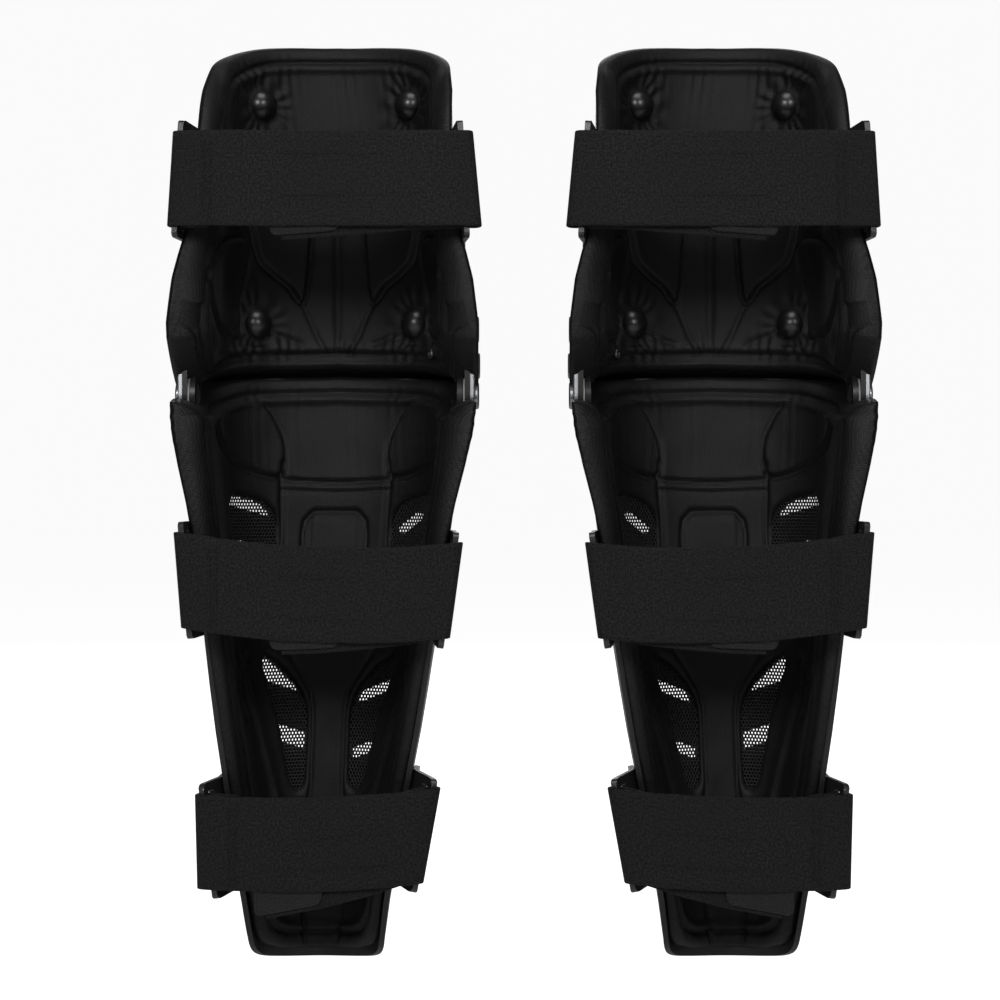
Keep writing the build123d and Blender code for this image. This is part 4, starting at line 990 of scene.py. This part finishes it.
slotFinish = {"shell": "shellPlastic", "cup": "shellPlastic", "plate": "platePlastic", "loop": "loopPlastic",
              "dome": "domeGloss", "arm": "armMetal", "steel": "rivetSteel", "washer": "washerNylon",
              "liner": "linerCloth", "mesh": "netThread", "webbing": "elasticWeb", "hook": "hookFace"}
for part in frame["record"]["subparts"]:
    node = frame["nodes"][part["node"]]
    node.data.materials.clear()
    node.data.materials.append(finishes[slotFinish[part["material_slot"]]])
print("finishes done")


# put each piece on its body, and make the right-hand guard
def settle(piece, side, body, finish, slotName, nodes=()):
    piece.data.materials.clear()
    piece.data.materials.append(finishes[finish])
    if body:
        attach(piece, f"{side}_{body}")
    for node in nodes:
        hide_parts(f"{side}_{node}")


def bothSides(piece, **facts):
    copy = mirrored(piece, piece.name.replace("left", "right", 1))
    settle(piece, "left", **facts)
    settle(copy, "right", **facts)
    return piece, copy


for side, piece in zip(sides, bothSides(upper, body=None, finish="linerCloth", slotName="liner",
                                         nodes=("thigh_liner", "knee_liner"))):
    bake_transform(piece)
for piece in bothSides(shin, body="shin", finish="linerCloth", slotName="liner", nodes=("shin_liner",)):
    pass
bothSides(windowNet, body="shin", finish="netThread", slotName="mesh", nodes=("shin_mesh",))
bothSides(hemStud, body="knee", finish="rivetSteel", slotName="steel")
for level, strap in straps.items():
    band, tape, thread = strapPieces[level]
    bothSides(band, body=strap["body"], finish="elasticWeb", slotName="webbing", nodes=strap["nodes"])
    bothSides(tape, body=strap["body"], finish="hookFace", slotName="hook", nodes=strap["patches"])
    bothSides(thread, body=strap["body"], finish="stitchThread", slotName="webbing")
print("pieces settled")

# stage, lights and camera
stage = {"floorSize": 30.0, "floorDrop": 0.004, "floorShade": 0.86, "floorRough": 0.9, "floorGlow": 0.917,
         "seenWhite": 0.96, "roomLight": 0.05}
deselectAll()
bpy.ops.mesh.primitive_plane_add(size=stage["floorSize"], location=(0, 0, 0))
floor = bpy.context.object
floor.name = "floor"
setMeshPoints(floor, meshPoints(floor) + [0, 0, -stage["floorDrop"]])
floorMaterial, floorTree, floorShader = newMaterial(
    "paleFloor", Roughness=stage["floorRough"], Specular_IOR_Level=0.0, Base_Color=(*[stage["floorShade"]] * 3, 1.0))
floorSeen = addNode(floorTree, "LightPath").outputs["Is Camera Ray"]
# the glow makes the floor white as seen, without lighting the guards
floorGlow = addNode(floorTree, "Emission", Strength=mathNode(floorTree, "MULTIPLY", floorSeen, stage["floorGlow"]))
floorAdd = addNode(floorTree, "AddShader")
floorTree.links.new(floorShader.outputs[0], floorAdd.inputs[0])
floorTree.links.new(floorGlow.outputs[0], floorAdd.inputs[1])
floorTree.links.new(floorAdd.outputs[0], floorTree.nodes["Material Output"].inputs["Surface"])
floor.data.materials.append(floorMaterial)

world = bpy.data.worlds.new("studio")
world.use_nodes = True
room = world.node_tree
roomSeen = addNode(room, "LightPath").outputs["Is Camera Ray"]
room.nodes["Background"].inputs["Color"].default_value = (1.0, 1.0, 1.0, 1.0)
roomLight = mathNode(room, "MULTIPLY_ADD", roomSeen, stage["seenWhite"] - stage["roomLight"], stage["roomLight"])
room.links.new(roomLight, room.nodes["Background"].inputs["Strength"])
bpy.context.scene.world = world

lights = {
    "leftSoftbox": {"place": (-0.6, -1.55, 0.95), "aim": (0.0, 0.0, 0.28), "size": 0.5, "power": 9.5},
    "rightSoftbox": {"place": (0.6, -1.55, 0.95), "aim": (0.0, 0.0, 0.28), "size": 0.5, "power": 7.5},
    "topSoftbox": {"place": (0.0, -0.5, 1.7), "aim": (0.0, 0.0, 0.2), "size": 0.8, "power": 6.0},
    "frontSoftbox": {"place": (0.0, 1.9, 1.3), "aim": (0.0, 0.0, 0.28), "size": 1.2, "power": 12.0},
}


def aimAt(obj, place, target):
    direction = [t - p for p, t in zip(place, target)]
    obj.location = place
    flat = math.hypot(direction[0], direction[1])
    obj.rotation_euler = (math.atan2(flat, -direction[2]), 0.0, math.atan2(direction[1], direction[0]) - math.pi / 2)


for name, look in lights.items():
    deselectAll()
    bpy.ops.object.light_add(type="AREA")
    lamp = bpy.context.object
    lamp.name = name
    lamp.data.shape = "SQUARE"
    lamp.data.size = look["size"]
    lamp.data.energy = look["power"]
    aimAt(lamp, look["place"], look["aim"])

view = {"distance": 1.1, "height": 0.261, "lens": 72.0, "shift": -0.024, "sensor": 36.0, "clipStart": 0.05}
deselectAll()
bpy.ops.object.camera_add()
camera = bpy.context.object
camera.name = "camera"
camera.data.lens = view["lens"]
camera.data.sensor_width = view["sensor"]
camera.data.shift_x = view["shift"]
camera.data.clip_start = view["clipStart"]
aimAt(camera, (0.0, -view["distance"], view["height"]), (0.0, 0.0, view["height"]))
bpy.context.scene.camera = camera
bpy.context.scene.view_settings.view_transform = "Standard"

print("scene ready")
